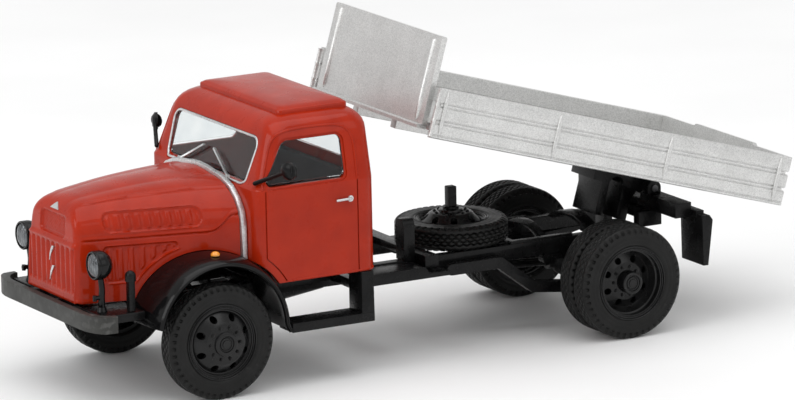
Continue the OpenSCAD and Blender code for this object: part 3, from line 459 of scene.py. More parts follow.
def tyre_outline():
    """(radius, x) from the outer bead over the tread to the inner bead."""
    half = [(RIM_R, 0.9), (3.62, 1.0), (3.72, 1.1), (3.86, 1.165), (4.0, 1.175), (4.12, 1.15),
            (4.2, 1.15), (4.3, 1.172), (4.42, 1.172), (4.52, 1.15), (4.7, 1.15), (4.84, 1.165),
            (4.96, 1.172), (5.08, 1.165), (5.2, 1.13), (5.32, 1.06), (5.42, 0.97), (5.5, 0.86),
            (5.545, 0.75)]
    tread = [(TYRE_R, x) for x in np.linspace(0.68, -0.68, 30)]
    return half + tread + [(r, -x) for r, x in reversed(half)]


def tyre(place, name):
    outline, around = tyre_outline(), LUGS * 8
    r = np.array([p[0] for p in outline])[None, :]
    x = np.array([p[1] for p in outline])[None, :]
    a = (np.arange(around) * math.tau / around)[:, None]
    on_tread = np.clip((r - 5.52) / 0.02, 0, 1)
    deep = np.zeros_like(a * r)
    for k, home in enumerate((-0.51, -0.17, 0.17, 0.51)):
        swing = home + 0.085 * np.sin(a * LUGS + k * math.pi)
        deep += 0.2 * np.exp(-(((x - swing) / 0.075) ** 2)) * on_tread
    gap = np.clip(1.5 * np.cos(a * LUGS) - 0.2, 0, 1)
    shoulder = np.exp(-(((r - 5.2) / 0.2) ** 4)) * (1 - on_tread)
    side = np.sign(x) * np.clip((5.5 - r) / 0.3, 0, 1)
    new_r = r - deep - 0.14 * gap * shoulder
    new_x = x - 0.2 * gap * shoulder * side
    points = np.stack([new_x + 0 * a, new_r * np.cos(a), new_r * np.sin(a)], -1).reshape(-1, 3)
    return new_object(name, points.tolist(), grid_faces(around, len(outline), True, True), place, 50)


FRONT_X, OUTER_X, INNER_X = 10.725, 11.725, 9.125
SPARE = Vector((0, 31.6, 10.275))


def wheel_place(x, axle, outward=1):
    place = MODEL @ Matrix.Translation((x, axle.y, axle.z))
    return place if outward > 0 else place @ Matrix.Rotation(math.pi, 4, "Z")


SPARE_PLACE = ON_TRUCK @ Matrix.Translation(SPARE) @ Matrix.Rotation(-math.pi / 2, 4, "Y")
for side, s in (("left", 1), ("right", -1)):
    dress(tyre(wheel_place(s * FRONT_X, AXLE, s), "front_tread_" + side), "front_wheels", "tyre",
          "front_tyre_" + side)
    pair = [tyre(wheel_place(s * x, REAR_AXLE, s), "one_tyre") for x in (OUTER_X, INNER_X)]
    dress(join("rear_treads_" + side, *pair), "rear_wheels", "tyre", "rear_tyres_" + side)
dress(tyre(SPARE_PLACE, "spare_tread"), "truck", "tyre", "spare_tyre")

# %% [markdown]
# The rims are turned shapes with eight hand holes through the cone. Outward there are a plate
# with a ring of nuts and a capped hub; at the edge, a flange and a locking ring. The front and
# spare rims bulge outward, the rear ones are the same idea pushed deep into the wheel.

# %% Rims
FLANGE = [(0.98, 3.2), (1.0, 3.3), (1.1, 3.34), (1.14, 3.4), (1.1, 3.46), (1.02, 3.48),
          (1.02, 3.52), (1.12, 3.55), (1.15, 3.6), (1.12, 3.66), (1.0, 3.6), (0.9, 3.53),
          (-0.975, 3.53), (-0.975, 3.2)]


def hub(face, out, r):
    """The hub's outline from the middle of its cap to the plate."""
    top = face + out
    return [(top, 0.0), (top, 0.36), (top - 0.03, 0.4), (top - 0.09, 0.42), (top - 0.09, 0.52),
            (top - 0.02, 0.56), (top - 0.02, 0.62), (top - 0.12, 0.68), (top - 0.12, 0.74),
            (top - 0.02, 0.8), (top, r - 0.14), (top - 0.05, r - 0.04), (top - 0.14, r)]


def rim_outline(face, plate, drop, out, r, inner):
    low = face - drop
    front = hub(face, out, r) + [(face + 0.03, r), (face, r + 0.05), (face, plate - 0.08),
                                 (face - 0.04, plate), (low + 0.05, 2.95), (low, 3.0), (low, 3.1)]
    if face < 0:                         # the dish's wall runs out to the flange
        front = front[:-3] + [(low + 0.02, 2.55), (low, 2.62), (low + 0.08, 2.7), (low + 0.7, 3.05)]
    back = [(low - 0.4, 3.2), (low - 0.4, 3.0), (face - 0.4, plate), (face - 0.4, r), (inner, r),
            (inner, 0.56), (face + out - 0.34, 0.56), (face + out - 0.34, 0.0)]
    return front + [(max(low + 0.08, front[-1][0] + 0.05), 3.2)] + FLANGE + back


def nuts(place, face, ring, count, finish):
    """One hexagon nut with its stud end, copied round the hub."""
    outline = [(ring + 0.17 * math.cos(a), 0.17 * math.sin(a))
               for a in (math.tau * k / 6 for k in range(6))]
    nut = bar("nut", outline, lambda a, b, s: (s, a, b), face - 0.05, face + 0.13, 1, place)
    stud = [(ring + 0.08 * math.cos(a), 0.08 * math.sin(a))
            for a in (math.tau * k / 8 for k in range(8))]
    stud = bar("stud", stud, lambda a, b, s: (s, a, b), face + 0.1, face + 0.2, 1, place)
    centre, axis = place.translation, place.to_3x3() @ Vector((1, 0, 0))
    one = join("nuts", nut, stud)
    if abs(axis.normalized().x) > 0.9:
        return repeated(one, finish, count, turn=math.tau / count, pivot=centre)
    one.data.transform(SPIN @ Matrix.Translation(-centre))
    ring_of = repeated(one, finish, count, turn=math.tau / count)
    ring_of.data.transform(Matrix.Translation(centre) @ SPIN.inverted())
    return ring_of


SPIN = Matrix.Rotation(math.pi / 2, 4, "Y")


def rim(name, place, face, plate, drop, out, r, inner, ring, count=10):
    wheel = turned(name, rim_outline(face, plate, drop, out, r, inner), place, 112)
    holes = []
    for k in range(8):
        a = math.tau * (k + 0.5) / 8
        at = (plate + 3) / 2 if face > 0 else 2.2
        round_hole = [(at + 0.34 * math.cos(t), 0.34 * math.sin(t))
                      for t in (math.tau * i / 20 for i in range(20))]
        holes.append(bar("hole", round_hole, lambda u, v, s, a=a: (
            s, u * math.cos(a) - v * math.sin(a), u * math.sin(a) + v * math.cos(a)),
            face - drop - 0.9, face + 0.4, 1, place))
    cut(wheel, join("holes", *holes), sharp=32)
    back = face - drop - 0.5
    drum = turned("drum", [(back, r - 0.02), (back, 3.21), (back - 0.12, 3.21), (back - 0.12, r - 0.02)],
                  place, 48)
    return join(name, wheel, drum, nuts(place, face, ring, count, "rim_black"))


CONVEX = dict(face=1.7, plate=2.05, drop=0.95, out=0.3, r=1.2, ring=1.62)
DISHED = dict(face=-0.1, plate=1.9, drop=0.3, r=1.1, ring=1.48)
for side, s in (("left", 1), ("right", -1)):
    dress(rim("front_wheel_" + side, wheel_place(s * FRONT_X, AXLE, s), inner=-1.475, **CONVEX),
          "front_wheels", "rim_black", "front_rim_" + side)
    pair = (rim("outer", wheel_place(s * OUTER_X, REAR_AXLE, s), out=1.3, inner=-1.175, **DISHED),
            rim("inner", wheel_place(s * INNER_X, REAR_AXLE, -s), out=0.6, inner=-1.375, **DISHED))
    dress(join("rear_wheels_" + side, *pair), "rear_wheels", "rim_black", "rear_rims_" + side)
dress(rim("spare_wheel", SPARE_PLACE, inner=-0.9, **CONVEX), "truck", "rim_black", "spare_rim")
for node, body in (("front_axle", "front_wheels"), ("rear_axle", "rear_wheels")):
    softened(node, body, "steel", 0.05)

# %% [markdown]
# ## Hood
#
# The hood is one closed casting: a narrow upright grille, a rounded nose, and a body that widens
# and rises to the cab. It could be boxes rounded off with bevels, but then the louvres would need
# cutting one by one. Here the hood is a rule instead. A function says how far a point is
# outside the shape, rays from its middle find the skin, and a second function says how deep each
# groove, recess and louvre is pressed in at that place.

# %% The hood's form
NOSE, HOOD_BACK, LOW, CREASE = 11.9, 3.75, 9.5, 15.8
GRILLE_HW, COWL_HW = 4.7, 8.7
NOSE_R, NOSE_TOP = 2.6, 19.22
REACH = 4.5                           # from the nose to the front end of the spine
SPINE_Y, SPINE_Z = -NOSE + REACH, 13.5
ARCH_Y, ARCH_Z, ARCH_R = 0.3, 6.26, 7.45
LIP_Z = 14.85


def mix(a, b, t):
    return a + (b - a) * t


def smooth_step(v, start, end):
    t = np.clip((v - start) / (end - start), 0, 1)
    return t * t * (3 - 2 * t)


def smooth_max(a, b, k):
    near = np.clip(k - np.abs(a - b), 0, None) / k
    return np.maximum(a, b) + near * near * k / 4


def hood_sizes(y):
    """Half width, height of the top, half width of its flat middle, and flare at the foot."""
    t = np.clip((y + NOSE + 0.1) / (HOOD_BACK + NOSE + 0.1), 0, 1)
    return (mix(GRILLE_HW, COWL_HW, t), mix(18.55, 19.75, t) + 0.35 * np.sin(np.pi * t),
            mix(1.5, 3.0, t), mix(0.5, 0.1, t))


def outside_hood(p):
    x, y, z = np.abs(p[..., 0]), p[..., 1], p[..., 2]
    hw, top, flat, flare = hood_sizes(y)
    side = x - hw - flare * np.clip((CREASE - z) / (CREASE - LOW), 0, 1.5)
    across = np.clip(x - flat, 0, None) / (hw - flat)
    up = np.clip(z - CREASE, 0, None) / (top - CREASE)
    shoulder = (np.hypot(across, up) - 1) * (top - CREASE)
    crown = z - top - 0.28 * (1 - (x / flat) ** 2)
    body = np.where(z < CREASE, side, np.where(x < flat, crown, shoulder))
    cy, cz = -NOSE + 0.3 + NOSE_R, NOSE_TOP - NOSE_R
    upright = np.interp(z, [LIP_Z - 0.2, LIP_Z + 0.4, cz], [-NOSE, -NOSE + 0.2, -NOSE + 0.3]) - y
    over = np.where(y < cy, np.hypot(y - cy, z - cz), z - cz - 0.2 * (y - cy)) - NOSE_R
    nose = np.where(z <= cz, upright, over)
    return smooth_max(body, nose, 0.55)


def skin_point(origin, ray):
    """Where the rays leave the hood, by halving."""
    near, far = np.zeros(len(ray)), np.full(len(ray), 30.0)
    for _ in range(40):
        half = (near + far) / 2
        out = outside_hood(origin + ray * half[:, None]) > 0
        far, near = np.where(out, half, far), np.where(out, near, half)
    return origin + ray * near[:, None]


def outward(p):
    step = 0.01
    slope = np.stack([outside_hood(p + d) - outside_hood(p - d) for d in np.eye(3) * step], -1)
    return slope / np.linalg.norm(slope, axis=-1, keepdims=True)


# %% [markdown]
# The relief. On each side a long recess with nine louvres sits above the crease and a second
# one with wide ribs below it, cut off by the wheel arch. In front, nine rounded ribs stand under
# a lip, and a fine mesh shows above it. Each feature is a depth in millimetres, with edges that
# fade over about a tenth of a millimetre, as moulded edges do.

# %% The hood's relief
LOUVRE_STEP, BAR_STEP, RIB_STEP, MESH_STEP = 0.96, 1.04, 1.02, 0.36


def inside(d, soft=0.08):
    """1 where d is well below zero, 0 where it is above, with a soft edge."""
    return smooth_step(-d, -soft / 2, soft / 2)


def stadium(u, v, cu, cv, hu, hv, r):
    """How far (u, v) is outside a rectangle with round corners."""
    du, dv = np.abs(u - cu) - (hu - r), np.abs(v - cv) - (hv - r)
    return np.hypot(np.clip(du, 0, None), np.clip(dv, 0, None)) + np.minimum(np.maximum(du, dv), 0) - r


def line(d, width):
    """1 on the line where d is 0, fading away within width."""
    return np.exp(-((d / width) ** 2))


def relief(p):
    x, y, z = np.abs(p[:, 0]), p[:, 1], p[:, 2]
    normal = outward(p)
    on_side = smooth_step(np.abs(normal[:, 0]), 0.35, 0.6)
    on_front = smooth_step(-normal[:, 1], 0.55, 0.85)
    depth = np.zeros(len(p))
    # long recess with louvres
    upper = stadium(y, z, -4.3, 16.95, 4.6, 0.92, 0.75)
    fins = (np.clip(np.cos(math.tau * (y + 8.5) / LOUVRE_STEP) * 1.4, -0.4, 1)
            * inside(stadium(y, z, -4.3, 16.95, 4.35, 0.68, 0.6), 0.2))
    depth += on_side * (0.17 * inside(upper, 0.12) - 0.1 * fins - 0.05 * line(upper - 0.05, 0.08))
    # lower panel, its rear corner following the wheel arch
    arch = ARCH_R + 0.75 - np.hypot(y - ARCH_Y, z - ARCH_Z)
    lower = np.maximum(stadium(y, z, -5.6, 13.0, 3.5, 1.75, 0.45), arch)
    bars = np.clip(np.cos(math.tau * (y + 8.6) / BAR_STEP) * 1.5, -0.4, 1) * inside(lower + 0.3, 0.2)
    depth += on_side * (0.17 * inside(lower, 0.12) - 0.1 * bars - 0.05 * line(lower - 0.05, 0.08))
    # crease along the side, curling up in front of the cab
    curl = 15.35 + 1.5 * smooth_step(y, 0.6, 3.4) ** 1.6
    depth += (on_side * (0.12 * line(z - curl, 0.09) - 0.06 * line(z - curl - 0.22, 0.13))
              * smooth_step(y, -11.2, -10.6))
    # edge of the top panel
    seam = mix(2.9, 6.1, np.clip((y + NOSE) / 15.6, 0, 1))
    high = smooth_step(z, 16.9, 17.4)
    depth += (high * (0.1 * line(x - seam, 0.07) - 0.05 * line(x - seam + 0.2, 0.12))
              * smooth_step(y, -10.2, -9.4))
    # grille: ribs, scalloped foot, side posts and lip
    wave = 0.14 * np.cos(math.tau * x / RIB_STEP)
    field = inside(np.maximum(np.maximum(x - 4.62, z - LIP_Z + 0.3 + wave), 10.35 - wave - z), 0.14)
    ribs = 0.5 + 0.5 * np.cos(math.tau * x / RIB_STEP)
    teeth = 0.5 + 0.5 * np.cos(math.tau * z / 0.3)
    depth += on_front * field * (0.22 * (1 - ribs ** 0.7) - 0.03 * teeth * (1 - ribs))
    depth -= on_front * 0.15 * line(z - LIP_Z, 0.13) * inside(x - GRILLE_HW, 0.3)
    depth -= on_front * 0.09 * line(x - 4.85, 0.1) * inside(z - LIP_Z, 0.2)
    depth -= 0.05 * (on_front + on_side) * line(z - LOW - 0.2, 0.12) * inside(y + 9.5, 0.5)
    # mesh above the lip
    window = stadium(x, z, 0, 16.35, 2.6, 1.0, 0.55)
    mesh = np.cos(math.tau * x / MESH_STEP) * np.cos(math.tau * z / MESH_STEP)
    depth += on_front * (0.26 * inside(window, 0.15) + 0.07 * mesh * inside(window + 0.15, 0.1))
    return depth


# %% [markdown]
# The rays start on a spine inside the hood. In front they fan out to a flat grid, so that the
# ribs of the grille run along its columns. Behind, each ring of rays moves back along the spine,
# and its lowest rays follow the wheel arch.

# %% The hood's skin
UP_RAYS, OVER_RAYS = 84, 98
RAY_TOP = 4.0                         # height of the rays' corner above the spine


def ring_of_rays(y, f):
    """Rays round the section at y; f is how much they still point forward."""
    low = np.maximum(LOW, ARCH_Z + math.sqrt(max(ARCH_R ** 2 - (y - ARCH_Y) ** 2, 0.0)))
    hw, _, _, flare = hood_sizes(np.array(y))
    reach = hw + flare * np.clip((CREASE - low) / (CREASE - LOW), 0, 1)
    a = reach / REACH
    up = np.linspace(low - SPINE_Z, RAY_TOP, UP_RAYS) / REACH
    over = np.linspace(-1, 1, OVER_RAYS)[1:-1] * a
    x = np.concatenate([np.full(UP_RAYS, -a), over, np.full(UP_RAYS, a)])
    z = np.concatenate([up, np.full(len(over), RAY_TOP / REACH), up[::-1]])
    return np.stack([x, np.full(len(x), -f), z], -1)


def hood_skin():
    rings = []
    for f in np.linspace(1, 0, 34):
        ray = ring_of_rays(SPINE_Y - REACH * f, f)
        rings.append(skin_point(np.array([0, SPINE_Y, SPINE_Z]), ray))
    for y in np.linspace(SPINE_Y, HOOD_BACK, 104)[1:]:
        rings.append(skin_point(np.array([0, y, SPINE_Z]), ring_of_rays(y, 0.0)))
    rows, cols = len(rings), len(rings[0])
    faces = grid_faces(rows, cols)
    a = (GRILLE_HW + 0.5) / REACH
    columns = np.linspace(-a, a, OVER_RAYS)
    heights = np.linspace(LOW - SPINE_Z, RAY_TOP, UP_RAYS) / REACH
    fan = np.stack(np.meshgrid(columns, heights), -1).reshape(-1, 2)
    front = skin_point(np.array([0, SPINE_Y, SPINE_Z]),
                       np.stack([fan[:, 0], -np.ones(len(fan)), fan[:, 1]], -1))
    base = rows * cols
    faces += [tuple(base + i for i in face) for face in grid_faces(UP_RAYS, OVER_RAYS)]
    points = np.concatenate(rings + [front])
    points = points - outward(points) * relief(points)[:, None]
    return points, faces


points, faces = hood_skin()
hood = new_object("hood_skin", points.tolist(), faces, sharp=50, weld=0.02)
shell = hood.modifiers.new("wall", "SOLIDIFY")
shell.thickness, shell.offset, shell.use_rim_only = 0.45 * MM, -1, True
bake(hood)
shade(hood.data, 50)
dress(hood, "truck", "red_paint", "hood")
softened("cowl_trim", "truck", "silver_trim", 0.08)

# %% [markdown]
# The nose carries a bright badge and the grille two bright strokes. They are plain shapes here,
# a triangle and two slanted bars, laid on the hood's skin as thin plates.

# %% Badge and strokes
def laid_plate(name, rows, cols, corner):
    """A thin plate over the nose; corner(u, v) is its point in a front view, u and v from 0 to 1."""
    fan = np.array([corner(u, v) for v in np.linspace(0, 1, rows) for u in np.linspace(0, 1, cols)])
    rays = np.stack([fan[:, 0] / REACH, -np.ones(len(fan)), (fan[:, 1] - SPINE_Z) / REACH], -1)
    skin = skin_point(np.array([0, SPINE_Y, SPINE_Z]), rays)
    skin = skin - outward(skin) * relief(skin)[:, None] * 0.5
    lifted = skin + outward(skin) * 0.07
    points = np.concatenate([lifted, skin - outward(skin) * 0.1])
    n = rows * cols
    border = ([k for k in range(cols)] + [r * cols + cols - 1 for r in range(1, rows)]
              + [n - 1 - k for k in range(1, cols)] + [(rows - 1 - r) * cols for r in range(1, rows - 1)])
    faces = grid_faces(rows, cols) + [tuple(n + i for i in f) for f in grid_faces(rows, cols)]
    faces += [(a, b, n + b, n + a) for a, b in zip(border, border[1:] + border[:1])]
    return new_object(name, points.tolist(), faces, sharp=40, weld=0.0001)


def badge_corner(u, v):
    return (u - 0.5) * 1.9 * (1 - 0.93 * v), 18.3 + 1.25 * v


def stroke(x, z, lean):
    return lambda u, v: (x + (u - 0.5) * 0.26 + lean * (v - 0.5) * 1.1, z + 1.5 * (v - 0.5))


marks = [laid_plate("badge", 14, 12, badge_corner), laid_plate("stroke", 12, 4, stroke(0.0, 13.5, 0.7)),
         laid_plate("stroke", 12, 4, stroke(0.0, 11.6, 0.7))]
dress(join("nose_marks", *marks), "truck", "silver_trim")

# %% [markdown]
# ## Cab
#
# The cab is a thin shell: upright sides up to the belt, leaning pillars, and a roof that curves
# in all round to a raised middle panel. It is made as a stack of rounded rectangles, with a
# second, smaller stack cut out of it, then the windows and the door's shut lines are cut. A
# stack is easier to hold to the size of the CAD than a subdivided box.

# %% The cab's levels
CAB_HW, CAB_FRONT, CAB_BACK, SILL, BELT, GUTTER, ROOF = 11.2, 4.4, 17.3, 10.3, 19.3, 24.3, 25.95
LEVELS = np.array([                      # height, half width, front, back, corner radius
    [SILL, CAB_HW, CAB_FRONT, CAB_BACK, 1.5], [BELT - 0.05, CAB_HW, CAB_FRONT, CAB_BACK, 1.5],
    [BELT + 0.05, CAB_HW - 0.01, CAB_FRONT + 0.04, CAB_BACK, 1.5],
    [BELT + 0.28, CAB_HW - 0.07, CAB_FRONT + 0.26, CAB_BACK, 1.5],
    [BELT + 0.45, CAB_HW - 0.1, CAB_FRONT + 0.42, CAB_BACK, 1.5],
    [GUTTER - 0.4, 10.28, CAB_FRONT + 1.78, CAB_BACK - 0.1, 1.5],
    [GUTTER, 10.18, CAB_FRONT + 1.92, CAB_BACK - 0.12, 1.52],
    [GUTTER + 0.4, 10.03, CAB_FRONT + 2.12, CAB_BACK - 0.22, 1.6],
    [GUTTER + 0.78, 9.78, CAB_FRONT + 2.4, CAB_BACK - 0.42, 1.72],
    [GUTTER + 1.1, 9.4, CAB_FRONT + 2.76, CAB_BACK - 0.7, 1.8],
    [GUTTER + 1.35, 8.9, CAB_FRONT + 3.2, CAB_BACK - 1.1, 1.8],
    [GUTTER + 1.52, 8.3, CAB_FRONT + 3.7, CAB_BACK - 1.65, 1.7],
    [ROOF - 0.03, 7.5, CAB_FRONT + 4.4, CAB_BACK - 2.4, 1.5],
    [ROOF, 6.0, CAB_FRONT + 5.6, CAB_BACK - 3.6, 1.2]])


def rounded_ring(z, hw, front, back, r, steps=9):
    corners = ((hw - r, front + r, -90), (hw - r, back - r, 0), (r - hw, back - r, 90),
               (r - hw, front + r, 180))
    return [(x + r * math.cos(math.radians(a + 90 * i / steps)),
             y + r * math.sin(math.radians(a + 90 * i / steps)), z)
            for x, y, a in corners for i in range(steps + 1)]


def stack(name, levels, sharp=35):
    rings = [rounded_ring(*level) for level in levels]
    n = len(rings[0])
    faces = grid_faces(len(rings), n, round_cols=True)
    faces += [tuple(range(n)), tuple(range(n * (len(rings) - 1), n * len(rings)))]
    return new_object(name, [p for ring in rings for p in ring], faces, sharp=sharp)


def cab_width(z):
    """Half the cab's width at a height."""
    return float(np.interp(z, LEVELS[:, 0], LEVELS[:, 1]))


def cab_face(z):
    """Where the cab's front face lies at a height."""
    return float(np.interp(z, LEVELS[:, 0], LEVELS[:, 2]))


CAB_WALL = 0.5
inner = LEVELS.copy()
inner[:, 1] -= CAB_WALL
inner[:, 2] += CAB_WALL
inner[:, 3] -= CAB_WALL
inner[:, 4] = np.maximum(inner[:, 4] - 0.4, 0.5)
inner[5:, 0] -= 0.45
inner[0, 0] -= 1
cab = cut(stack("cab_shell", LEVELS), stack("cab_room", inner))
print("cab faces", len(cab.data.polygons))

# %% [markdown]
# The windscreen and the door windows are cut twice: right through for the opening, and a wider,
# shallow cut for the rebate that holds the pane or its bright frame. The rear window is only cut
# right through. The outlines have round corners, larger at the door window's upper front.

# %% Windows, wheel arch and shut lines
SASH_LOW, SASH_HIGH = 19.6, 23.75
SIDE_FRONT, SIDE_BACK = CAB_FRONT + 0.75, CAB_BACK - 3.4


def round_polygon(corners, grow=0.0, steps=7):
    """Outline round (a, b, radius) corners given anticlockwise, larger by grow."""
    outline = []
    n = len(corners)
    for k, (a, b, r) in enumerate(corners):
        before, after = corners[k - 1], corners[(k + 1) % n]
        start = math.atan2(b - before[1], a - before[0]) - math.pi / 2
        end = math.atan2(after[1] - b, after[0] - a) - math.pi / 2
        while end < start:
            end += math.tau
        outline += [(a + (r + grow) * math.cos(start + (end - start) * i / steps),
                     b + (r + grow) * math.sin(start + (end - start) * i / steps))
                    for i in range(steps + 1)]
    return outline


SIDE_WINDOW = [(SIDE_FRONT + 0.9, SASH_LOW + 0.5, 0.5), (SIDE_BACK - 0.5, SASH_LOW + 0.5, 0.5),
               (SIDE_BACK - 0.75, SASH_HIGH - 0.75, 0.75), (SIDE_FRONT + 3.1, SASH_HIGH - 1.1, 1.1)]
SCREEN = [(-7.3, SASH_LOW + 0.65, 0.6), (7.3, SASH_LOW + 0.65, 0.6), (7.5, SASH_HIGH - 0.8, 0.8),
          (-7.5, SASH_HIGH - 0.8, 0.8)]
REAR_WINDOW = [(-4.5, 20.9, 0.7), (4.5, 20.9, 0.7), (4.5, 23.1, 0.7), (-4.5, 23.1, 0.7)]


def slab_x(outline, x0, x1):
    return bar("cutter", outline, lambda a, b, s: (s, a, b), x0, x1)


def slab_y(outline, y0, y1):
    return bar("cutter", outline, lambda a, b, s: (a, s, b), y0, y1)


def leaning(name, outline, depth, proud, sideways):
    """A cutter that follows the lean of the door (sideways) or of the windscreen."""
    def point(a, b, s):
        return (sideways * (cab_width(b) + s), a, b) if sideways else (a, cab_face(b) - s, b)
    return bar(name, outline, point, -depth, proud)


arch = [(ARCH_Y + ARCH_R * math.cos(a), ARCH_Z + ARCH_R * math.sin(a))
        for a in (math.tau * k / 160 for k in range(160))]
cut(cab, slab_x(round_polygon(SIDE_WINDOW), -20, 20), slab_y(round_polygon(SCREEN), 0, 9),
    slab_y(round_polygon(REAR_WINDOW), 15, 20), slab_x(arch, -20, 20))
cut(cab, leaning("rebate", round_polygon(SCREEN, 0.28), 0.14, 1.0, 0),
    *[leaning("rebate", round_polygon(SIDE_WINDOW, 0.24), 0.13, 0.6, s) for s in (1, -1)])


def shut_line(path, x_in, side, width=0.13):
    """A thin cut that follows a path of (y, z) on the cab's side, in to x_in."""
    path = [Vector(p) for p in path]
    left, right = [], []
    for k, p in enumerate(path):
        along = (path[min(k + 1, len(path) - 1)] - path[max(k - 1, 0)]).normalized()
        left.append(p + Vector((-along.y, along.x)) * width / 2)
        right.append(p - Vector((-along.y, along.x)) * width / 2)
    n = len(left)
    points = [(side * x, *p) for x in (x_in, 12.5) for p in left + right[::-1]]
    faces = grid_faces(2, 2 * n, round_cols=True)
    for row in (0, 2 * n):
        faces += [(row + i, row + i + 1, row + 2 * n - 2 - i, row + 2 * n - 1 - i) for i in range(n - 1)]
    return new_object("shut_line", points, faces)


FRONT_LINE = [(5.35, 19.25), (5.35, 12.75)] + arc(ARCH_Y, ARCH_Z, 8.2, 51.5, 30.5, 12)[1:]
REAR_LINE = [(15.15, 10.0), (15.15, 19.3)]
lines = []
for s in (1, -1):
    lines += [shut_line(FRONT_LINE, 10.98, s), shut_line(REAR_LINE, 11.07, s)]
cut(cab, *lines)
print("cab with openings", len(cab.data.polygons))

# %% [markdown]
# Raised on the skin are the roof panel, the drip moulding that runs up the pillar and over the
# door, and the lip along the lower edge. They are moulded in one with the cab, so they join its
# mesh instead of becoming pieces of their own.

# %% Roof panel and mouldings
def on_side(y, z, out=0.0):
    """The point of the left side at (y, z), allowing for the rounded corners in plan."""
    _, hw, front, back, r = [float(np.interp(z, LEVELS[:, 0], LEVELS[:, k])) for k in range(5)]
    gap = max(front + r - y, y - (back - r), 0)
    return (hw - r + math.sqrt(max(r * r - gap * gap, 0)) + out, y, z)


HATCH = [[ROOF - 0.25, 8.2, 8.4, 16.0, 0.6], [ROOF + 0.2, 8.18, 8.42, 15.98, 0.6],
         [ROOF + 0.28, 8.13, 8.47, 15.93, 0.6], [ROOF + 0.33, 8.02, 8.58, 15.82, 0.6]]
for t in np.linspace(0.15, 0.97, 9):       # the crown, rising like the top of a circle
    HATCH.append([ROOF + 0.33 + 0.51 * math.sin(t * math.pi / 2) ** 0.9, 8.02 - 7.6 * t ** 1.7,
                  8.58 + 3.2 * t ** 1.7, 15.82 - 3.2 * t ** 1.7, 0.6 - 0.35 * t])
hatch = stack("roof_panel", HATCH, 45)
PILLAR = [(5.15, 19.4), (5.35, 20.2), (5.75, 21.4), (6.15, 22.6), (6.5, 23.5), (6.95, 24.15),
          (7.6, 24.5), (8.6, 24.68), (10.4, 24.74), (12.4, 24.7), (13.7, 24.55), (14.5, 24.2),
          (14.95, 23.6), (15.12, 22.7), (15.15, 21.0), (15.15, 19.4)]


def smooth_path(path, per=5):
    """A curve through the points."""
    pts = [Vector(p) for p in [path[0]] + list(path) + [path[-1]]]
    curve = []
    for a, b, c, d in zip(pts, pts[1:], pts[2:], pts[3:]):
        for k in range(per):
            t = k / per
            curve.append((b * 2 + (c - a) * t + (a * 2 - b * 5 + c * 4 - d) * t * t
                          + (b * 3 - a - c * 3 + d) * t ** 3) / 2)
    return curve + [pts[-2]]


drips = []
for s in (1, -1):
    way = [on_side(y, z, -0.02) for y, z in smooth_path(PILLAR)]
    drips.append(tube("drip", [(s * x, y, z) for x, y, z in way], 0.13))
    edge = [(s * x, y, z) for x, y, z in (on_side(y, SILL + 0.13, -0.04) for y in
                                          np.linspace(8.0, CAB_BACK - 0.3, 20))]
    drips.append(tube("edge", edge, 0.1))
cab = join("cab_body", cab, hatch, *drips)
dress(cab, "truck", "red_paint", "cab")

# %% [markdown]
# The windscreen's frame and the door handle are bright. The frame is a soft bead that lies in
# the rebate, and the handle is a small lever on a round rose. The wipers and the panes keep
# their CAD shape.

# %% Bright frame, door handles, wipers and panes
bead = [(a, cab_face(b) + 0.06, b) for a, b in round_polygon(SCREEN, 0.12)]
dress(tube("screen_frame", bead, 0.13, closed=True, sides=8), "truck", "silver_trim")
HANDLE_Y, HANDLE_Z = 14.35, 17.55
handles = []
for s in (1, -1):
    rose = [(HANDLE_Y + 0.3 * math.cos(a), HANDLE_Z + 0.3 * math.sin(a))
            for a in (math.tau * k / 20 for k in range(20))]
    handles.append(bar("rose", rose, lambda a, b, x, s=s: (s * x, a, b), 11.15, 11.3))
    lever = [(s * 11.3, HANDLE_Y, HANDLE_Z), (s * 11.42, 14.3, 17.56), (s * 11.46, 14.0, 17.58),
             (s * 11.46, 13.5, 17.57), (s * 11.44, 12.95, 17.55), (s * 11.38, 12.8, 17.54)]
    handles.append(tube("lever", smooth_path(lever, 4), lambda t: 0.15 - 0.04 * t))
dress(join("door_handles", *handles), "truck", "silver_trim")
softened("wipers", "truck", "silver_trim", 0)
for node in ("windscreen", "side_windows", "rear_window"):
    softened(node, "truck", "clear_plastic", 0)

# %% [markdown]
# Inside, the floor, the seat, the dashboard and the steering wheel are one dull grey. They only
# show through the panes, so softened copies of the CAD solids are enough.

# %% Interior
for node in ("cab_floor", "seat", "dashboard", "steering_wheel"):
    softened(node, "truck", "interior_grey", 0 if node == "steering_wheel" else 0.12)

# %% [markdown]
# ## Fenders and front end
#
# A fender is one thin pressing swept round the wheel, with a rolled lip along its outer edge
# that catches the light, and a flared foot behind. Its section is swept by angle, from the foot
# over the top to the front, and the corner that meets the frame's side plate is cut away.

# %% Fenders
FENDER_R, CROWN, FENDER_T, OUT, IN = 6.75, 0.65, 0.36, 12.0, 5.05


def fender_section():
    """(radius, x) round the section: the rolled lip, the crown outside, and back underneath."""
    top = [(FENDER_R + CROWN * math.sin(a), OUT - 3.2 + 3.2 * math.cos(a))
           for a in np.linspace(0.12, math.pi / 2, 14)]
    under = [(r - FENDER_T, min(x, OUT - 0.32)) for r, x in reversed(top)]
    lip = arc(FENDER_R - 0.1, OUT - 0.15, 0.19, -150, 65, 9)
    return top + [(FENDER_R + CROWN, IN), (FENDER_R + CROWN - FENDER_T, IN)] + under + lip


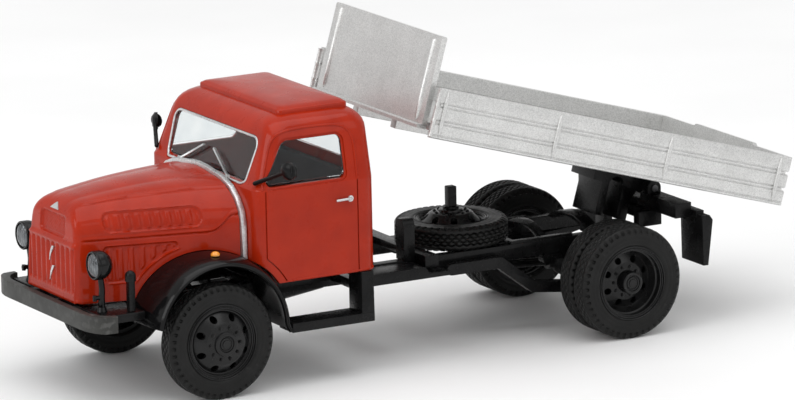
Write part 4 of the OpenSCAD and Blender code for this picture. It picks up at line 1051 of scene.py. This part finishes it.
def fender(side):
    section, points, turns = fender_section(), [], np.linspace(-6, 169, 110)
    for angle in turns:
        a, flare = math.radians(angle), 0.5 * max(0.0, (4 - angle) / 10) ** 2
        points += [(side * x, ARCH_Y + (r + flare) * math.cos(a), ARCH_Z + (r + flare) * math.sin(a))
                   for r, x in section]
    n = len(section)
    faces = grid_faces(len(turns), n, round_cols=True)
    faces += [tuple(range(n)), tuple(range(len(points) - n, len(points)))]
    skin = new_object("fender", points, faces, sharp=40)
    room = bar("plate_room", [(-12, 8.2), (-6.85, 8.2), (-6.85, 9.2), (-12, 9.2)],
               lambda a, b, s: (side * s, a, b), 4, 9.7)
    return cut(skin, room, sharp=40)


for side, s in (("left", 1), ("right", -1)):
    wing = fender(s)
    wing.name = "wing_" + side
    dress(wing, "truck", "gloss_black", "fender_" + side)

# %% [markdown]
# The headlights are round shells on bent stalks, with a raised bezel and a domed glass. The
# glass is crossed by fine upright flutes, like the real moulded glass of such lamps.

# %% Headlights
LAMP = Vector((7.54, -10.83, 13.63))
LAMP_R = 1.4


def lamp_place(side):
    return ON_TRUCK @ Matrix.Translation((side * LAMP.x, LAMP.y, LAMP.z)) @ Matrix.Rotation(
        -math.pi / 2, 4, "Z")


def headlight(side):
    bowl = [(-1.45, 0.0), (-1.44, 0.2)] + [(-0.2 - 1.25 * math.cos(a), LAMP_R * math.sin(a))
                                           for a in np.linspace(0.25, math.pi / 2, 12)]
    rim_ring = [(0.1, LAMP_R), (0.14, LAMP_R), (0.2, LAMP_R - 0.03), (0.3, LAMP_R),
                (0.42, LAMP_R - 0.02), (0.5, LAMP_R - 0.1), (0.48, LAMP_R - 0.2), (0.1, LAMP_R - 0.2),
                (0.1, 0.0)]
    shell = turned("shell", bowl + rim_ring, lamp_place(side), 64)
    x, y, z = side * LAMP.x, LAMP.y + 0.4, 9.15
    stalk = tube("stalk", smooth_path([(x, y, z), (x, y, z + 1.2), (x, y + 0.05, z + 2.2),
                                       (x, y - 0.1, z + 3.4)], 4), lambda t: 0.34 - 0.06 * t, sides=14)
    base = tube("base", [(x, y, z), (x, y, z + 0.12), (x, y, z + 0.3), (x, y, z + 0.42)],
                lambda t: 0.52 - 0.14 * t, sides=14)
    lug = tube("lug", [(x, y, z + 1.3), (x, y - 0.5, z + 1.35), (x, y - 0.88, z + 1.3)],
               lambda t: 0.24 - 0.04 * t)
    screw = tube("screw", [(x, y - 0.72, z + 1.05), (x, y - 0.72, z + 1.6)], 0.2)
    return join("lamp_" + ("left" if side > 0 else "right"), shell, stalk, base, lug, screw)


def lens(side):
    rings, around, points = 14, 64, []
    r_max = LAMP_R - 0.22
    for k in range(rings + 1):
        r = r_max * k / rings
        for i in range(around):
            a = math.tau * i / around
            flute = 0.03 * math.cos(math.tau * r * math.cos(a) / 0.36) * (k < rings)
            points.append((0.16 + 0.5 * math.sqrt(1 - (r / r_max * 0.94) ** 2) + flute,
                           r * math.cos(a), r * math.sin(a)))
    faces = grid_faces(rings + 1, around, round_cols=True)
    return new_object("glass", points, faces, lamp_place(side), 60)


for side, s in (("left", 1), ("right", -1)):
    dress(headlight(s), "truck", "gloss_black", "headlight_" + side)
dress(join("lamp_glasses", lens(1), lens(-1)), "truck", "lens_plastic", "headlight_lenses")

# %% [markdown]
# Bumper, hook, side plate and guide posts keep the CAD's shape with soft edges, and the mirrors
# keep it unrounded. The indicators are small turned domes. The mirrors get a flat glass of their
# own, which faces back.

# %% Small parts in front
softened("bumper", "truck", "dark_grey", 0.09)
softened("tow_hook", "truck", "chassis_black", 0.05)
softened("front_plate", "truck", "chassis_black", 0.1)
softened("guide_posts", "truck", "chassis_black", 0.06)
lamps = []
for s in (1, -1):
    up = ON_TRUCK @ Matrix.Translation((s * 10.2, ARCH_Y, ARCH_Z + 7.38)) @ Matrix.Rotation(
        -math.pi / 2, 4, "Y")
    dome = [(0.0, 0.0), (0.0, 0.44), (0.16, 0.44), (0.17, 0.4)] + [
        (0.17 + 0.22 * math.sin(a), 0.38 * math.cos(a)) for a in np.linspace(0.1, math.pi / 2, 8)]
    lamps.append(turned("dome", dome, up, 32))
dress(join("indicators", *lamps), "truck", "amber_plastic", "turn_signals")
MIRROR, MIRROR_TURN = Vector((13.65, 6.4, 21.6)), math.radians(25)
for side, s in (("left", 1), ("right", -1)):
    softened("mirror_" + side, "truck", "chassis_black", 0)
    face = (ON_TRUCK @ Matrix.Translation((s * MIRROR.x, MIRROR.y, MIRROR.z))
            @ Matrix.Rotation(-s * MIRROR_TURN, 4, "Z") @ Matrix.Rotation(math.pi / 2, 4, "Z"))
    glass = [(0.3, 0.0), (0.33, 0.0), (0.33, 0.64), (0.3, 0.69)]
    dress(turned("mirror_glass_" + side, glass, face, 40), "truck", "steel")

# %% [markdown]
# ## Bed
#
# The bed's sides are three boards on a sill, with a double joint between boards and four posts
# across them. A side is one bar: its end outline has the boards, joints and sill, and it is
# drawn out along the bed. The posts are one half-round bar, copied by the copying tree.

# %% Side walls
BED_LEN, BED_HW, WALL_H, WALL_T = 41.4, 12.0, 4.9, 0.6
JOINTS = (WALL_H / 3, 2 * WALL_H / 3)
POSTS, POST_EDGE = 4, 1.2             # POST_EDGE is from a wall's end to its last post


def wall_outline(side):
    """(x, height) of the wall: outside with boards and joints, inside with single joints."""
    outer = [(0.12, 0.02), (0.0, 0.1), (0.0, 0.26), (0.1, 0.3), (0.1, 0.38), (0.02, 0.43)]
    for joint in JOINTS:
        for edge in (joint - 0.17, joint + 0.17):
            outer += [(0.02, edge - 0.1), (0.05, edge - 0.06), (0.14, edge - 0.04),
                      (0.14, edge + 0.04), (0.05, edge + 0.06), (0.02, edge + 0.1)]
    outer += [(0.02, WALL_H - 0.12), (0.06, WALL_H - 0.04), (0.14, WALL_H)]
    inner_side = [(WALL_T - 0.12, WALL_H), (WALL_T - 0.03, WALL_H - 0.08)]
    for joint in reversed(JOINTS):
        inner_side += [(WALL_T, joint + 0.08), (WALL_T - 0.08, joint), (WALL_T, joint - 0.08)]
    return [(side * (BED_HW - depth), h) for depth, h in outer + inner_side + [(WALL_T, 0.02)]]


def posts(side):
    """The posts of one side: slim beads that run out to a point at both ends."""
    x = side * (BED_HW - 0.02)
    path = [(x, POST_EDGE, 0.34 + (WALL_H - 0.5) * k / 16) for k in range(17)]
    one = tube("post", path, lambda t: 0.03 + 0.21 * min(1.0, 5 * min(t, 1 - t)) ** 0.6, ON_BED, sides=12)
    step = ON_BED.to_3x3() @ Vector((0, (BED_LEN - 2 * POST_EDGE) / (POSTS - 1), 0))
    return repeated(one, "silver_paint", POSTS, step)


def board_gaps(side):
    """Cuts that part the boards at both ends of a side wall."""
    cuts = []
    for joint in JOINTS:
        for start, end in ((0.0, 0.6), (BED_LEN - 0.38, BED_LEN + 0.2)):
            gap = [(side * (BED_HW + out), joint + up)
                   for out, up in ((-1.0, -0.13), (0.6, -0.13), (0.6, 0.13), (-1.0, 0.13))]
            cuts.append(bar("gap", gap, lambda a, b, l: (a, l, b), start, end, 1, ON_BED))
    return join("gaps", *cuts)


for side, s in (("left", 1), ("right", -1)):
    wall = bar("wall", wall_outline(s), lambda a, b, l: (a, l, b), 0.35, BED_LEN, 8, ON_BED)
    cut(wall, board_gaps(s))
    hinge = tube("hinge", [(s * 11.98, 0.3, 0.2 + 4.5 * k / 24) for k in range(25)],
                 lambda t: 0.24 if round(t * 24) % 8 == 0 else 0.18, ON_BED, sides=14)
    dress(join("boards_" + side, wall, hinge, posts(s)), "bed", "silver_paint", "side_wall_" + side)

# %% [markdown]
# The headboard is a plain plate with a foot along its lower edge and two beads, which run down it
# and end in a point. The tailgate has a raised middle. The floor has runners and cross ribs below.

# %% Headboard, tailgate and floor
HEAD_H, HEAD_HW = 9.6, 10.45


def headboard():
    outline = [(-HEAD_HW, 0.95), (HEAD_HW, 0.95), (HEAD_HW, HEAD_H - 0.15), (HEAD_HW - 0.15, HEAD_H),
               (-HEAD_HW + 0.15, HEAD_H), (-HEAD_HW, HEAD_H - 0.15)]
    plate = bar("plate", outline, lambda a, b, s: (a, s, b), 0.0, 0.6, 1, ON_BED)
    foot = bar("foot", [(-0.5, 0.62), (0.6, 0.62), (0.6, 1.0), (-0.42, 1.0), (-0.5, 0.92)],
               lambda a, b, s: (s, a, b), -HEAD_HW, HEAD_HW, 1, ON_BED)
    beads = []
    heights, radii = (HEAD_H - 0.35, HEAD_H - 0.5, 3.0, 1.6, 1.25), (0.05, 0.3, 0.3, 0.26, 0.04)
    for x in (1.25 - HEAD_HW, HEAD_HW - 1.25):
        for face in (0.02, 0.58):
            beads.append(tube("bead", [(x, face, h) for h in heights],
                              lambda t: radii[round(t * 4)], ON_BED, sides=12))
    return join("head_plate", plate, foot, *beads)


def tailgate():
    hw, top = BED_HW - WALL_T, WALL_H
    rise = [(-hw, 0.2), (hw, 0.2), (hw, top - 0.06), (hw - 0.06, top), (5.6, top), (5.3, top + 0.23),
            (5.2, top + 0.25), (-5.2, top + 0.25), (-5.3, top + 0.23), (-5.6, top), (-hw + 0.06, top),
            (-hw, top - 0.06)]
    gate = bar("gate", rise, lambda a, b, s: (a, s, b), BED_LEN - 0.55, BED_LEN - 0.04, 1, ON_BED)
    bars_on = []
    for x in (-9.4, -3.2, 3.2, 9.4):
        strap = [(x - 0.35, 0.5), (x + 0.35, 0.5), (x + 0.35, top - 0.3), (x - 0.35, top - 0.3)]
        bars_on.append(bar("strap", strap, lambda a, b, s: (a, s, b), BED_LEN - 0.1, BED_LEN, 1, ON_BED))
    return join("tail_plate", gate, *bars_on)


dress(headboard(), "bed", "silver_paint", "headboard")
dress(tailgate(), "bed", "silver_paint", "tailgate")
softened("bed_floor", "bed", "silver_paint", 0.06)
softened("tip_bracket", "bed", "chassis_black", 0.08)

# %% [markdown]
# ## Frame and running gear
#
# The rest is the black plastic frame with what hangs on it. These are bars, plates and turned
# rods in reality too, so the CAD shapes stay and only lose their hard edges.

# %% Frame pieces
for node in ("frame_rails", "cross_members", "radius_arms", "gearbox", "prop_shaft", "differential",
             "step_left", "step_right", "rear_beam", "bed_rests", "side_tanks", "spare_post",
             "tail_beam", "mudflap_left", "mudflap_right"):
    softened(node, "truck", "chassis_black", 0.0 if node in ("prop_shaft", "differential") else 0.08)
for node in ("front_springs", "rear_springs"):
    softened(node, "truck", "chassis_black", 0.05)
softened("pivot_pin", "truck", "steel", 0.05)

# %% [markdown]
# ## Studio
#
# The model stands on a plain, nearly white floor. It isn't part of the truck, so it rides on no body.

# %% Floor
def floor_finish():
    made, nodes, link, shader, where = node_kit("studio_floor")
    link(ramp(nodes, link, noise(nodes, link, where, 40.0), (0.86, 0.86, 0.86), (0.9, 0.9, 0.9)),
         shader.inputs["Base Color"])
    shader.inputs["Roughness"].default_value = 0.6
    return made


floor = new_object("floor", [(-3000, -3000, 0), (3000, -3000, 0), (3000, 3000, 0), (-3000, 3000, 0)],
                   [(0, 1, 2, 3)], MODEL)
floor.data.materials.append(floor_finish())

# %% [markdown]
# The light is soft from everywhere: a white room, a large panel overhead, and two weaker panels
# that draw long highlights on the cab's side and on the nose.

# %% Light
def softbox(name, place, target, size, power):
    light = bpy.data.lights.new(name, "AREA")
    light.shape, light.size, light.size_y, light.energy = "RECTANGLE", size[0], size[1], power
    lamp = bpy.data.objects.new(name, light)
    lamp.location = place
    lamp.rotation_euler = (Vector(target) - Vector(place)).to_track_quat("-Z", "Y").to_euler()
    bpy.context.scene.collection.objects.link(lamp)


softbox("over", (0.05, -0.02, 0.45), (0, 0, 0), (0.5, 0.5), 1.1)
softbox("near_side", (0.5, 0.15, 0.3), (0, 0, 0.015), (0.4, 0.3), 0.3)
softbox("front", (0.05, -0.5, 0.3), (0, 0, 0.015), (0.35, 0.3), 0.85)
world = bpy.data.worlds.new("studio")
world.use_nodes = True
world.node_tree.nodes["Background"].inputs["Color"].default_value = (1, 1, 1, 1)
world.node_tree.nodes["Background"].inputs["Strength"].default_value = 0.72
bpy.context.scene.world = world
bpy.context.scene.view_settings.view_transform = "Standard"

# %% [markdown]
# A long lens, far away, keeps the small model's lines nearly parallel. The camera stands to the
# left of the truck's nose, a little above it, turned by about a degree about its own axis.

# %% Camera
camera = bpy.data.objects.new("camera", bpy.data.cameras.new("camera"))
place, target = Vector((0.5594, -0.3097, 0.1592)), Vector((0.00235, -0.00072, 0.01427))
turn = (target - place).to_track_quat("-Z", "Y").to_matrix().to_4x4()
camera.matrix_world = Matrix.Translation(place) @ turn @ Matrix.Rotation(math.radians(-1.1), 4, "Z")
camera.data.lens, camera.data.sensor_width = 305.7, 36
camera.data.shift_x, camera.data.shift_y = -0.0023, 0.0018
camera.data.clip_start, camera.data.clip_end = 0.01, 20
bpy.context.scene.collection.objects.link(camera)
bpy.context.scene.camera = camera

# %% Finish
print("still as packed:", [n for n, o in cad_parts.items() if not o.hide_render])
